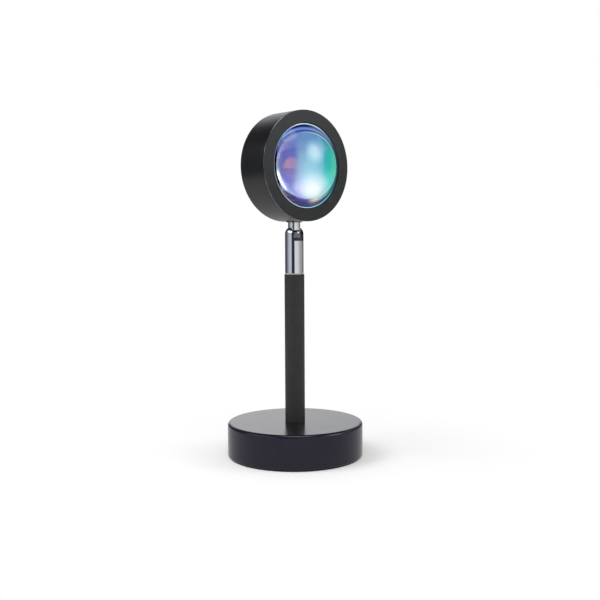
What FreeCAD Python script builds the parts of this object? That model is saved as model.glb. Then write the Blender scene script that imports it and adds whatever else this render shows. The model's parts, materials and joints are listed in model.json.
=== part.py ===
"""Sunset projection lamp: a drum-shaped lamp head on a ball knuckle, a slim pole and a round weighted base.

Millimetres. +Z is up, the origin is the centre of the face that the lamp stands on, and the lens looks along -Y.
The stand carries a slotted socket that turns on top of the pole. The ball stem tips forward through the socket's
slot, and the head turns round the stem.
"""
import FreeCAD
import Part
import math
import os

V = FreeCAD.Vector
UP = V(0, 0, 1)

# ---- clearances ----
RUN_CLEAR = 0.1          # radial clearance of a part that turns in another
STUD_CLEAR = 0.05        # radial clearance of the head on its stud
SEAT_CLEAR = 0.15        # radial clearance of a part that is dropped into a seat
SLIDE_CLEAR = 0.05       # radial clearance of plug and seat in the ball's bore, and of the ball in its seat
SPRING_CLEAR = 0.2       # radial clearance of the spring washers, outside and inside

# ---- how solids are joined and cut ----
PAST = 1.0               # how far a cutter runs past what it cuts
SUNK = 0.3               # how far a boss, fin or lug is sunk in what it is fused to
LEAST_FILLET = 0.2       # where a wall leaves less room for a fillet
TINY = 1e-6              # lengths below this count as nothing

# ---- base ----
BASE_DIAMETER = 99.0
BASE_TOP_Z = 25.5
BASE_EDGE_RADIUS = 2.2
COVER_WALL = 1.2
PAD_THICKNESS = 1.5
PAD_INSET = 1.3
PLATE_THICKNESS = 1.2
WEIGHT_THICKNESS = 8.0
WEIGHT_SIDE_GAP = 2.3
BOSS_RADIUS = 4.0
BOSS_INSET = 7.9         # from the edge of the counterweight to the middle of a boss
BOSS_COUNT = 4
BOSS_START_ANGLE = 45.0  # from the board's side, clear of the board and the cable inlet
PLATE_SCREW_RADIUS = 1.5
PLATE_SCREW_HEAD_RADIUS = 2.8
PLATE_SCREW_LENGTH = 7.0
SCREW_SLOT_WIDTH = 0.6   # in the heads of the larger screws

# ---- cable inlet in the back of the base ----
INLET_BORE_RADIUS = 1.8
GROMMET_WALL = 1.7
GROMMET_FLANGE = 1.3
GROMMET_PROUD = 1.0
GROMMET_INNER_FLANGE = 1.6
GROMMET_TAIL_WALL = 1.1
GROMMET_TAIL = 3.0
GROMMET_EDGE = 0.4

# ---- driver board in the base ----
BOARD_LENGTH = 26.0
BOARD_WIDTH = 22.0
BOARD_THICKNESS = 1.6
BOARD_NUT_GAP = 4.417    # from the corner of the pole's nut to the near end of the board
CAPACITOR_INSET = 4.0    # from the far end of the board to the middle of its capacitors
STANDOFF_RADIUS = 2.2
STANDOFF_HEIGHT = 4.0
BOARD_SCREW_RADIUS = 1.25
BOARD_SCREW_HEAD_RADIUS = 2.2
BOARD_SCREW_HEAD = 1.4
BOARD_SCREW_DEPTH = 3.0
BOARD_SCREW_INSET = 3.2
BOARD_SCREW_SLOT_WIDTH = 0.5
BOARD_SCREW_SLOT_DEPTH = 0.6
INDUCTOR_SIZE = 6.0
INDUCTOR_HEIGHT = 2.8
INDUCTOR_CORNER = 1.0
INDUCTOR_X = -4.0        # from the middle of the board, and so for the chip
INDUCTOR_Y = -4.0
CHIP_LENGTH = 5.0
CHIP_WIDTH = 4.0
CHIP_HEIGHT = 1.6        # from the board to its top
CHIP_STANDOFF = 0.2
CHIP_X = 5.0
CHIP_Y = -2.0
CHIP_LEAD_COUNT = 4      # on each side
CHIP_LEAD_PITCH = 1.27
CHIP_LEAD_WIDTH = 0.4
CHIP_LEAD_THICKNESS = 0.25
CHIP_LEAD_SPAN = 6.0
CAPACITOR_RADIUS = 2.0
CAPACITOR_HEIGHT = 3.6
CAPACITOR_ROWS = (3.5, 8.2)
CONNECTOR_LENGTH = 5.0
CONNECTOR_WIDTH = 6.4
CONNECTOR_HEIGHT = 3.2
CONNECTOR_INSET = 0.5    # from the near end of the board
CONNECTOR_WIRE_HEIGHT = 1.4

# ---- pole ----
POLE_DIAMETER = 14.5
POLE_WALL = 1.5
POLE_LENGTH = 108.0
NIPPLE_RADIUS = 5.0      # M10 x 1 lamp pipe
NIPPLE_WALL = 1.4
NIPPLE_UP = 14.0
NIPPLE_DOWN = 1.5
POLE_BUSH_LENGTH = 12.0
NUT_ACROSS_FLATS = 14.0
NUT_THICKNESS = 3.5
NUT_CHAMFER_SLOPE = 0.8  # height of a nut's chamfer for each millimetre of its reach
LOCK_WASHER_RADIUS = 8.5
LOCK_WASHER_THICKNESS = 0.9
LOCK_WASHER_TEETH = 12
LOCK_WASHER_TOOTH = 1.3
LOCK_WASHER_NOTCH = 1.2

# ---- swivel on top of the pole ----
SPIGOT_RADIUS = 4.5
SPIGOT_BORE_RADIUS = 2.6
SPIGOT_HEIGHT = 12.0
SPIGOT_ROOT = 12.0
SPIGOT_EDGE = 0.4
SWIVEL_WASHER_THICKNESS = 0.5
SWIVEL_WASHER_INSET = 0.2
GROOVE_DEPTH = 0.8
GROOVE_HEIGHT = 2.2
GROOVE_CENTRE_UP = 6.0
STOP_LUG_WIDTH = 1.0

# ---- slotted socket ----
SOCKET_DIAMETER = 13.6
SOCKET_WALL = 1.25
SOCKET_FOOT_BREAK = 0.25
SHOULDER_GAP = 2.0       # from the end of the spigot to the bottom of the ball's bore
PIVOT_UP = 28.8          # from the top of the pole to the ball's centre
SLOT_CORNER_RADIUS = 0.8
SET_SCREW_RADIUS = 1.5
SET_SCREW_DOG_RADIUS = 0.75
SET_SCREW_HEX = 1.5
SET_SCREW_HEX_DEPTH = 1.2
SET_SCREW_INSET = 0.3    # below the sleeve's surface
PLUG_THICKNESS = 2.2
SEAT_TOP_ABOVE_SLOT = 1.4
SEAT_HEIGHT = 4.2
SPRING_COUNT = 3
SPRING_THICKNESS = 0.4

# ---- ball stem ----
NECK_STEP = 0.95         # how much slimmer the neck is than the ball
STEM_BORE_RADIUS = 2.3
STEM_FLARE = 1.3
STEM_FLARE_START = 0.1   # below the ball
STUD_RADIUS = 4.0        # M8 stud
STUD_PROUD = 0.4         # how far the stud stands out of its nut
COLLAR_RADIUS = 5.7
COLLAR_THICKNESS = 1.0
SADDLE_RADIUS = 6.4
SADDLE_THICKNESS = 1.6
STEM_NUT_ACROSS_FLATS = 12.0
STEM_NUT_THICKNESS = 3.0

# ---- head ----
HEAD_UP = 9.2            # from the ball's centre to the bottom of the drum
HEAD_DIAMETER = 78.5
HEAD_DEPTH = 28.0
STEM_FROM_FRONT = 15.0   # from the head's front face to the stem's axis
HEAD_WALL = 2.0
HEAD_BACK_WALL = 3.0
HEAD_BACK_RADIUS = 2.5
RING_THICKNESS = 3.0
RING_LIP = 1.5
RING_EDGE_BREAK = 0.45
RING_LIP_BEVEL = 0.7
RING_OPENING_DIAMETER = 59.4
SKIRT_LENGTH = 3.4
SPOT_FACE_DEPTH = 0.5

# ---- optics and light engine, measured from the back face of the head ----
LENS_EDGE = 7.0
LENS_SEAT_OVERLAP = 2.2
LENS_DOME_HEIGHT = 14.0
FILTER_THICKNESS = 1.0
FILTER_INSET = 1.9       # how much smaller the filter's radius is than the lens's
REFLECTOR_FLANGE = 1.0
REFLECTOR_WALL = 1.0
REFLECTOR_LEDGE = 8.7    # from the edge of the ring's opening in to the mouth of the reflector
THROAT_GAP = 0.3
WIRE_NOTCH_SIDE = 1.2    # room in the reflector's notch beside the wires' axes
GASKET_THICKNESS = 0.6
GASKET_WIDTH = 1.6
HEAT_SINK_SIDE_GAP = 5.0
HEAT_SINK_PLATE = 2.5
HEAT_SINK_BOSS_LEDGE = 0.3
HEAT_SINK_BOSS = 3.0
FIN_COUNT = 16
FIN_THICKNESS = 0.9
FIN_HEIGHT = 1.6
FIN_GAP = 1.0            # from the heads of the screws to the fins
FIN_INSET = 0.5          # from the edge of the heat sink
SINK_SCREW_GAP = 2.8     # from the boss to the heads of the screws
SINK_SCREW_RADIUS = 1.5
SINK_SCREW_HEAD_RADIUS = 2.6
SINK_SCREW_HEAD = 1.4
SINK_SCREW_COUNT = 3
SINK_SCREW_START_ANGLE = 90.0
SINK_SCREW_SLOT_DEPTH = 0.7
SINK_SCREW_FLOOR = 1.0   # what is left of the drum's back wall below the screws
THERMAL_PAD_INSET = 0.4
THERMAL_PAD_THICKNESS = 0.4
LED_BOARD_RADIUS = 10.0
LED_BOARD_THICKNESS = 1.6
LED_BOARD_NOTCHES = 6
LED_BOARD_NOTCH_RADIUS = 1.4
LED_BOARD_NOTCH_START_ANGLE = 30.0
LED_SIZE = 2.2
LED_HEIGHT = 0.8
LED_SPACING = 2.9
LED_SCREW_RADIUS = 1.1
LED_SCREW_INSET = 2.6
LED_SCREW_HEAD_RADIUS = 1.7
LED_SCREW_HEAD = 0.9
LED_SCREW_DEPTH = 2.5
LED_SCREW_COUNT = 2
CONDENSER_INSET = 2.0
CONDENSER_RIM = 1.2
CONDENSER_CLEAR = 1.2    # from the top of its dome to the colour filter
CONDENSER_GAP = 0.6
CONDENSER_LEG_WIDTH = 1.6
CONDENSER_LEG_INSET = 0.2
CONDENSER_LEG_COUNT = 3
CONDENSER_LEG_START_ANGLE = 90.0

# ---- wires ----
WIRE_RADIUS = 0.7
WIRE_SPACING = 2.0
LOOP_OUT = 3.0           # from the connector to where the wires turn down
LOOP_DOWN = 2.2          # from the end of the pipe down to the wires
LOOP_BEND = 1.4
WIRE_END = 1.0           # how far the wires stand out of the spigot
HEAD_WIRE_GAP = 0.2      # from the edge of the light source's board
HEAD_WIRE_OUT = 6.0
HEAD_WIRE_TURN = 4.5     # above the stud
HEAD_WIRE_BEND = 4.0

# ---- worked out from the values above ----
BASE_RADIUS = BASE_DIAMETER / 2
COVER_INNER_RADIUS = BASE_RADIUS - COVER_WALL
COVER_INNER_TOP_Z = BASE_TOP_Z - COVER_WALL
PAD_RADIUS = BASE_RADIUS - PAD_INSET
PLATE_TOP_Z = PAD_THICKNESS + PLATE_THICKNESS
WEIGHT_RADIUS = COVER_INNER_RADIUS - WEIGHT_SIDE_GAP
WEIGHT_BOTTOM_Z = COVER_INNER_TOP_Z - WEIGHT_THICKNESS
BOSS_CIRCLE_RADIUS = WEIGHT_RADIUS - BOSS_INSET
BOARD_CENTRE_X = NUT_ACROSS_FLATS / math.sqrt(3) + BOARD_NUT_GAP + BOARD_LENGTH / 2
INLET_Z = (PLATE_TOP_Z + WEIGHT_BOTTOM_Z) / 2
INLET_HOLE_RADIUS = INLET_BORE_RADIUS + GROMMET_WALL
BOARD_TOP_Z = WEIGHT_BOTTOM_Z - STANDOFF_HEIGHT
BOARD_BOTTOM_Z = BOARD_TOP_Z - BOARD_THICKNESS
POLE_RADIUS = POLE_DIAMETER / 2
POLE_BORE_RADIUS = POLE_RADIUS - POLE_WALL
POLE_TOP_Z = BASE_TOP_Z + POLE_LENGTH
WASHER_BOTTOM_Z = WEIGHT_BOTTOM_Z - LOCK_WASHER_THICKNESS
NUT_BOTTOM_Z = WASHER_BOTTOM_Z - NUT_THICKNESS
GROOVE_RADIUS = SPIGOT_RADIUS - GROOVE_DEPTH
GROOVE_Z = POLE_TOP_Z + GROOVE_CENTRE_UP
SPIGOT_TOP_Z = POLE_TOP_Z + SPIGOT_HEIGHT
SOCKET_RADIUS = SOCKET_DIAMETER / 2
SOCKET_BOTTOM_Z = POLE_TOP_Z + SWIVEL_WASHER_THICKNESS
SOCKET_SHOULDER_Z = SPIGOT_TOP_Z + SHOULDER_GAP
PIVOT_Z = POLE_TOP_Z + PIVOT_UP
BALL_BORE_RADIUS = SOCKET_RADIUS - SOCKET_WALL
BALL_RADIUS = BALL_BORE_RADIUS - RUN_CLEAR
STEM_RADIUS = BALL_RADIUS - NECK_STEP
MOUTH_RADIUS = STEM_RADIUS + SEAT_CLEAR
SLOT_BOTTOM_Z = PIVOT_Z - MOUTH_RADIUS
HEAD_RADIUS = HEAD_DIAMETER / 2
HEAD_BOTTOM_Z = PIVOT_Z + HEAD_UP
HEAD_CENTRE_Z = HEAD_BOTTOM_Z + HEAD_RADIUS
HEAD_BORE_RADIUS = HEAD_RADIUS - HEAD_WALL
STEM_FROM_BACK = HEAD_DEPTH - STEM_FROM_FRONT
SEAM = HEAD_DEPTH - RING_THICKNESS
SPOT_FACE_Z = HEAD_BOTTOM_Z + SPOT_FACE_DEPTH
COLLAR_BOTTOM_Z = SPOT_FACE_Z - COLLAR_THICKNESS
SADDLE_TOP_Z = HEAD_CENTRE_Z - HEAD_BORE_RADIUS + SADDLE_THICKNESS
STUD_TOP_Z = SADDLE_TOP_Z + STEM_NUT_THICKNESS + STUD_PROUD
STUD_HOLE_RADIUS = STUD_RADIUS + STUD_CLEAR
OPENING_RADIUS = RING_OPENING_DIAMETER / 2
LENS_FRONT = HEAD_DEPTH - RING_LIP    # front of the lens's rim, behind the ring's lip
LENS_BACK = LENS_FRONT - LENS_EDGE
LENS_RADIUS = OPENING_RADIUS + LENS_SEAT_OVERLAP
SKIRT_BORE_RADIUS = LENS_RADIUS + SEAT_CLEAR
FILTER_FRONT = LENS_BACK - GASKET_THICKNESS
FILTER_BACK = FILTER_FRONT - FILTER_THICKNESS
FILTER_RADIUS = LENS_RADIUS - FILTER_INSET
REFLECTOR_MOUTH_RADIUS = OPENING_RADIUS - REFLECTOR_LEDGE
REFLECTOR_THROAT_RADIUS = LED_BOARD_RADIUS + THROAT_GAP
REFLECTOR_FRONT = FILTER_BACK
REFLECTOR_FLANGE_BACK = REFLECTOR_FRONT - REFLECTOR_FLANGE
SINK_RADIUS = HEAD_BORE_RADIUS - HEAT_SINK_SIDE_GAP
SINK_BOSS_RADIUS = REFLECTOR_THROAT_RADIUS + REFLECTOR_WALL + HEAT_SINK_BOSS_LEDGE
SINK_SCREW_CIRCLE = SINK_BOSS_RADIUS + SINK_SCREW_GAP + SINK_SCREW_HEAD_RADIUS
SINK_FRONT = HEAD_BACK_WALL + HEAT_SINK_PLATE
SINK_BOSS_FRONT = SINK_FRONT + HEAT_SINK_BOSS
LED_BOARD_BACK = SINK_BOSS_FRONT + THERMAL_PAD_THICKNESS
LED_BOARD_FRONT = LED_BOARD_BACK + LED_BOARD_THICKNESS
LED_SCREW_CIRCLE = LED_BOARD_RADIUS - LED_SCREW_INSET
CONDENSER_RADIUS = LED_BOARD_RADIUS - CONDENSER_INSET
CONDENSER_BACK = LED_BOARD_FRONT + LED_HEIGHT + CONDENSER_GAP
CONDENSER_RIM_TOP = CONDENSER_BACK + CONDENSER_RIM
CONDENSER_DOME = FILTER_BACK - CONDENSER_CLEAR - CONDENSER_RIM_TOP


# ---- shape helpers ----
def cylinder(radius, low, high, x=0.0, y=0.0):
    """An upright cylinder from height low to height high."""
    return Part.makeCylinder(radius, high - low, V(x, y, low), UP)


def ring(outer, inner, low, high, x=0.0, y=0.0):
    """An upright tube."""
    return cylinder(outer, low, high, x, y).cut(cylinder(inner, low - PAST, high + PAST, x, y))


def box(low, high):
    """A box between two opposite corners."""
    size = V(*high) - V(*low)
    return Part.makeBox(size.x, size.y, size.z, V(*low))


def lathe(start, *steps):
    """Turns an outline round Z. A step is the next (radius, height), or two of them for an arc through the first."""
    here = V(start[0], 0, start[1])
    edges = []
    for step in steps + (start,):
        if isinstance(step[0], tuple):
            middle = V(step[0][0], 0, step[0][1])
            end = V(step[1][0], 0, step[1][1])
            edges.append(Part.Arc(here, middle, end).toShape())
        else:
            end = V(step[0], 0, step[1])
            if here.distanceToPoint(end) < TINY:
                continue
            edges.append(Part.LineSegment(here, end).toShape())
        here = end
    face = Part.Face(Part.Wire(edges))
    return Part.makeSolid(face.revolve(V(0, 0, 0), UP, 360).Shells[0])


def rise(radius, reach):
    """Height of a circle's point above its centre, at a distance of reach from the upright through it."""
    return math.sqrt(radius ** 2 - reach ** 2)


def arc_point(centre, radius, degrees):
    """A point of a circle in the lathe's (radius, height) plane."""
    angle = math.radians(degrees)
    return (centre[0] + radius * math.cos(angle), centre[1] + radius * math.sin(angle))


def hexagon(across_flats, low, high, turn=0.0):
    """An upright hexagonal prism with two flats facing X when turn is 0."""
    corner = across_flats / math.sqrt(3)
    angles = [math.radians(turn + 30 + 60 * n) for n in range(7)]
    wire = Part.makePolygon([V(corner * math.cos(a), corner * math.sin(a), low) for a in angles])
    return Part.Face(wire).extrude(V(0, 0, high - low))


def nut(across_flats, bore, low, high):
    """A hexagon nut with both faces chamfered and two flats facing Y."""
    corner = across_flats / math.sqrt(3)
    drop = (corner - across_flats / 2) * NUT_CHAMFER_SLOPE
    chamfered = lathe((0, low), (across_flats / 2, low), (corner, low + drop), (corner, high - drop),
                      (across_flats / 2, high), (0, high))
    return hexagon(across_flats, low, high, 30).common(chamfered).cut(cylinder(bore, low - PAST, high + PAST))


def moved(shape, x, y, z):
    """A copy of a shape, shifted."""
    copy = shape.copy()
    copy.translate(V(x, y, z))
    return copy


def around(shape, count, start=0.0):
    """Copies of a shape, evenly turned round Z."""
    copies = []
    for n in range(count):
        turned = shape.copy()
        turned.rotate(V(0, 0, 0), UP, start + 360.0 * n / count)
        copies.append(turned)
    return copies


def on_head(shape):
    """Moves a shape from the head's own frame, +Z forward from the back face, to its place on the lamp."""
    placed = shape.copy()
    placed.rotate(V(0, 0, 0), V(1, 0, 0), 90)
    placed.translate(V(0, STEM_FROM_BACK, HEAD_CENTRE_Z))
    return placed


def wire_along(points, bend):
    """A round wire along straight runs joined by tangent arcs of one bend radius."""
    edges = []
    here = points[0]
    for before, corner, after in zip(points, points[1:], points[2:]):
        incoming = (corner - before).normalize()
        outgoing = (after - corner).normalize()
        turn = incoming.getAngle(outgoing)
        back = bend * math.tan(turn / 2)
        enter = corner - incoming * back
        leave = corner + outgoing * back
        inward = (outgoing - incoming).normalize()
        middle = corner + inward * (bend / math.cos(turn / 2) - bend)
        edges.append(Part.LineSegment(here, enter).toShape())
        edges.append(Part.Arc(enter, middle, leave).toShape())
        here = leave
    edges.append(Part.LineSegment(here, points[-1]).toShape())
    path = Part.Wire(edges)
    start = (points[1] - points[0]).normalize()
    section = Part.Wire(Part.makeCircle(WIRE_RADIUS, points[0], start))
    return path.makePipeShell([section], True, False)


# ---- base ----
def base_cover():
    """Drawn steel cup, open below, with a rounded top edge, a hole for the pole's pipe and one for the cable."""
    radius, top, edge, inner_top = BASE_RADIUS, BASE_TOP_Z, BASE_EDGE_RADIUS, COVER_INNER_TOP_Z
    inner_edge = max(edge - COVER_WALL, LEAST_FILLET)
    corner = (radius - edge, top - edge)
    inner_corner = (COVER_INNER_RADIUS - inner_edge, inner_top - inner_edge)
    cup = lathe((radius, PAD_THICKNESS), (radius, top - edge),
                (arc_point(corner, edge, 45), (radius - edge, top)),
                (NIPPLE_RADIUS, top), (NIPPLE_RADIUS, inner_top), (COVER_INNER_RADIUS - inner_edge, inner_top),
                (arc_point(inner_corner, inner_edge, 45), (COVER_INNER_RADIUS, inner_top - inner_edge)),
                (COVER_INNER_RADIUS, PAD_THICKNESS))
    hole = Part.makeCylinder(INLET_HOLE_RADIUS, radius, V(0, radius / 2, INLET_Z), V(0, 1, 0))
    return cup.cut(hole)


def boss_places():
    """Centres of the counterweight's bosses, clear of the cable inlet and the driver board."""
    angles = [math.radians(BOSS_START_ANGLE + 360.0 * n / BOSS_COUNT) for n in range(BOSS_COUNT)]
    return [(BOSS_CIRCLE_RADIUS * math.cos(a), BOSS_CIRCLE_RADIUS * math.sin(a)) for a in angles]


def standoff_places():
    """Centres of the driver board's two standoffs, at opposite corners."""
    along = BOARD_LENGTH / 2 - BOARD_SCREW_INSET
    across = BOARD_WIDTH / 2 - BOARD_SCREW_INSET
    return [(BOARD_CENTRE_X - along, across), (BOARD_CENTRE_X + along, -across)]


def counterweight():
    """Cast iron disc under the cover, with bosses down to the base plate and threaded holes."""
    weight = ring(WEIGHT_RADIUS, NIPPLE_RADIUS, WEIGHT_BOTTOM_Z, COVER_INNER_TOP_Z)
    for x, y in boss_places():
        weight = weight.fuse(cylinder(BOSS_RADIUS, PLATE_TOP_Z, WEIGHT_BOTTOM_Z + SUNK, x, y))
    for x, y in boss_places():
        end = PAD_THICKNESS + PLATE_SCREW_LENGTH
        weight = weight.cut(cylinder(PLATE_SCREW_RADIUS, PLATE_TOP_Z - PAST, end, x, y))
    for x, y in standoff_places():
        end = WEIGHT_BOTTOM_Z + BOARD_SCREW_DEPTH
        weight = weight.cut(cylinder(BOARD_SCREW_RADIUS, WEIGHT_BOTTOM_Z - PAST, end, x, y))
    return weight.removeSplitter()


def plate_screw_sink():
    """Depth of the countersink, no deeper than the base plate is thick."""
    return min(PLATE_SCREW_HEAD_RADIUS - PLATE_SCREW_RADIUS, PLATE_THICKNESS)


def base_plate_screws():
    """Countersunk screws, flush with the underside of the base plate."""
    head, shank, sink = PLATE_SCREW_HEAD_RADIUS, PLATE_SCREW_RADIUS, plate_screw_sink()
    length = PLATE_SCREW_LENGTH
    screw = lathe((0, 0), (head, 0), (head - sink, sink), (shank, sink), (shank, length), (0, length))
    screw = screw.cut(box((-head, -SCREW_SLOT_WIDTH / 2, -PAST), (head, SCREW_SLOT_WIDTH / 2, sink / 2)))
    return [moved(screw, x, y, PAD_THICKNESS) for x, y in boss_places()]


def base_plate():
    """Flat steel plate that closes the base from below, countersunk for its screws."""
    plate = cylinder(COVER_INNER_RADIUS - SEAT_CLEAR, PAD_THICKNESS, PLATE_TOP_Z)
    head, shank, sink = PLATE_SCREW_HEAD_RADIUS, PLATE_SCREW_RADIUS, plate_screw_sink()
    end = PLATE_THICKNESS + PAST
    hole = lathe((0, -PAST), (head, -PAST), (head, 0), (head - sink, sink), (shank, sink), (shank, end),
                 (0, end))
    for x, y in boss_places():
        plate = plate.cut(moved(hole, x, y, PAD_THICKNESS))
    return plate


def foot_pad():
    """Sheet rubber pad under the base."""
    return cylinder(PAD_RADIUS, 0, PAD_THICKNESS)


def cable_grommet():
    """Rubber bush gripped by the wall of the cover, with a bore for the supply cable."""
    outer = BASE_RADIUS + GROMMET_PROUD
    inner = COVER_INNER_RADIUS - GROMMET_INNER_FLANGE
    tail = inner - GROMMET_TAIL
    tail_radius = INLET_BORE_RADIUS + GROMMET_TAIL_WALL
    flange_radius = INLET_HOLE_RADIUS + GROMMET_FLANGE
    body = lathe((INLET_BORE_RADIUS, tail), (tail_radius, tail), (tail_radius, inner),
                 (flange_radius, inner), (flange_radius, outer - GROMMET_EDGE),
                 (flange_radius - GROMMET_EDGE, outer), (INLET_BORE_RADIUS, outer))
    body.rotate(V(0, 0, 0), V(1, 0, 0), -90)
    body.translate(V(0, 0, INLET_Z))
    return body.cut(base_cover())


# ---- driver board ----
def driver_board():
    """Fibreglass board hung below the counterweight, with two screw holes."""
    board = box((BOARD_CENTRE_X - BOARD_LENGTH / 2, -BOARD_WIDTH / 2, BOARD_BOTTOM_Z),
                (BOARD_CENTRE_X + BOARD_LENGTH / 2, BOARD_WIDTH / 2, BOARD_TOP_Z))
    for x, y in standoff_places():
        board = board.cut(cylinder(BOARD_SCREW_RADIUS, BOARD_BOTTOM_Z - PAST, BOARD_TOP_Z + PAST, x, y))
    return board


def board_standoffs():
    """Brass spacers between the board and the counterweight."""
    return [ring(STANDOFF_RADIUS, BOARD_SCREW_RADIUS, BOARD_TOP_Z, WEIGHT_BOTTOM_Z, x, y)
            for x, y in standoff_places()]


def board_screws():
    """Pan-head screws up through the board and its spacers into the counterweight."""
    radius, low = BOARD_SCREW_HEAD_RADIUS, BOARD_BOTTOM_Z - BOARD_SCREW_HEAD
    head = cylinder(radius, low, BOARD_BOTTOM_Z)
    shank = cylinder(BOARD_SCREW_RADIUS, BOARD_BOTTOM_Z, WEIGHT_BOTTOM_Z + BOARD_SCREW_DEPTH)
    slot = box((-radius, -BOARD_SCREW_SLOT_WIDTH / 2, low - PAST),
               (radius, BOARD_SCREW_SLOT_WIDTH / 2, low + BOARD_SCREW_SLOT_DEPTH))
    screw = head.fuse(shank).cut(slot)
    return [moved(screw, x, y, 0) for x, y in standoff_places()]


def under_board(length, width, height, x, y, standoff=0.0):
    """A box under the driver board, centred on a place on it."""
    return box((x - length / 2, y - width / 2, BOARD_BOTTOM_Z - height),
               (x + length / 2, y + width / 2, BOARD_BOTTOM_Z - standoff))


def driver_inductor():
    """Square shielded coil of the current driver, under the board."""
    body = under_board(INDUCTOR_SIZE, INDUCTOR_SIZE, INDUCTOR_HEIGHT, BOARD_CENTRE_X + INDUCTOR_X, INDUCTOR_Y)
    upright = [e for e in body.Edges if abs(e.Vertexes[0].Z - e.Vertexes[1].Z) > INDUCTOR_HEIGHT / 2]
    return body.makeChamfer(INDUCTOR_CORNER, upright)


def driver_chip():
    """Driver chip with a row of leads on each side; a lead and the one across from it are one strip."""
    x = BOARD_CENTRE_X + CHIP_X
    chip = under_board(CHIP_LENGTH, CHIP_WIDTH, CHIP_HEIGHT, x, CHIP_Y, CHIP_STANDOFF)
    for n in range(CHIP_LEAD_COUNT):
        middle = x + (n - (CHIP_LEAD_COUNT - 1) / 2) * CHIP_LEAD_PITCH
        chip = chip.fuse(under_board(CHIP_LEAD_WIDTH, CHIP_LEAD_SPAN, CHIP_LEAD_THICKNESS, middle, CHIP_Y))
    return chip


def driver_capacitors():
    """Two small can capacitors under the board."""
    x = BOARD_CENTRE_X + BOARD_LENGTH / 2 - CAPACITOR_INSET
    return [cylinder(CAPACITOR_RADIUS, BOARD_BOTTOM_Z - CAPACITOR_HEIGHT, BOARD_BOTTOM_Z, x, y)
            for y in CAPACITOR_ROWS]


def connector_start():
    """Where along X the wire connector starts, near the pole."""
    return BOARD_CENTRE_X - BOARD_LENGTH / 2 + CONNECTOR_INSET


def wire_connector():
    """Two-pole plug connector for the wires to the lamp head, on top of the board."""
    near, half = connector_start(), CONNECTOR_WIDTH / 2
    return box((near, -half, BOARD_TOP_Z), (near + CONNECTOR_LENGTH, half, BOARD_TOP_Z + CONNECTOR_HEIGHT))


# ---- pole ----
def lock_washer():
    """Toothed washer under the counterweight."""
    washer = ring(LOCK_WASHER_RADIUS, NIPPLE_RADIUS, WASHER_BOTTOM_Z, WEIGHT_BOTTOM_Z)
    notch = box((LOCK_WASHER_RADIUS - LOCK_WASHER_TOOTH, -LOCK_WASHER_NOTCH / 2, WASHER_BOTTOM_Z - PAST),
                (LOCK_WASHER_RADIUS + PAST, LOCK_WASHER_NOTCH / 2, WEIGHT_BOTTOM_Z + PAST))
    for cut in around(notch, LOCK_WASHER_TEETH):
        washer = washer.cut(cut)
    return washer


def pole_nut():
    """Hexagon nut that draws the pole down on the base."""
    return nut(NUT_ACROSS_FLATS, NIPPLE_RADIUS, NUT_BOTTOM_Z, WASHER_BOTTOM_Z)


def pole_nipple():
    """Hollow threaded pipe that clamps the base to the pole and carries the wires."""
    return ring(NIPPLE_RADIUS, NIPPLE_RADIUS - NIPPLE_WALL, NUT_BOTTOM_Z - NIPPLE_DOWN, BASE_TOP_Z + NIPPLE_UP)


def pole_bush():
    """Threaded bush fixed in the foot of the pole."""
    return ring(POLE_BORE_RADIUS, NIPPLE_RADIUS, BASE_TOP_Z, BASE_TOP_Z + POLE_BUSH_LENGTH)


def pole_tube():
    """Steel tube between the base and the knuckle."""
    return ring(POLE_RADIUS, POLE_BORE_RADIUS, BASE_TOP_Z, POLE_TOP_Z)


def swivel_spigot():
    """Turned plug in the pole's top, with a grooved spigot on which the socket turns and a lug that stops it."""
    low, top = GROOVE_Z - GROOVE_HEIGHT / 2, GROOVE_Z + GROOVE_HEIGHT / 2
    end, edge = SPIGOT_TOP_Z, SPIGOT_EDGE
    spigot = lathe((SPIGOT_BORE_RADIUS, POLE_TOP_Z - SPIGOT_ROOT), (POLE_BORE_RADIUS, POLE_TOP_Z - SPIGOT_ROOT),
                   (POLE_BORE_RADIUS, POLE_TOP_Z), (SPIGOT_RADIUS, POLE_TOP_Z), (SPIGOT_RADIUS, low),
                   (GROOVE_RADIUS, low), (GROOVE_RADIUS, top), (SPIGOT_RADIUS, top), (SPIGOT_RADIUS, end - edge),
                   (SPIGOT_RADIUS - edge, end), (SPIGOT_BORE_RADIUS, end))
    lug = box((-STOP_LUG_WIDTH / 2, -SPIGOT_RADIUS, low), (STOP_LUG_WIDTH / 2, -GROOVE_RADIUS + SUNK, top))
    lug = lug.common(cylinder(SPIGOT_RADIUS, low, top))
    return spigot.fuse(lug).removeSplitter()


def swivel_washer():
    """Thin nylon washer that the socket turns on."""
    return ring(SOCKET_RADIUS - SWIVEL_WASHER_INSET, SPIGOT_RADIUS + RUN_CLEAR, POLE_TOP_Z, SOCKET_BOTTOM_Z)


# ---- socket ----
def slot_cutter(half_width):
    """The space in front of the ball that the stem swings through."""
    front, top = -SOCKET_RADIUS - PAST, PIVOT_Z + SOCKET_RADIUS + PAST
    cutter = box((-half_width, front, SLOT_BOTTOM_Z), (half_width, 0, top))
    low_edges = [e for e in cutter.Edges
                 if all(abs(v.Z - SLOT_BOTTOM_Z) < TINY for v in e.Vertexes)
                 and abs(e.Vertexes[0].X - e.Vertexes[1].X) < TINY]
    return cutter.makeFillet(SLOT_CORNER_RADIUS, low_edges)


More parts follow.
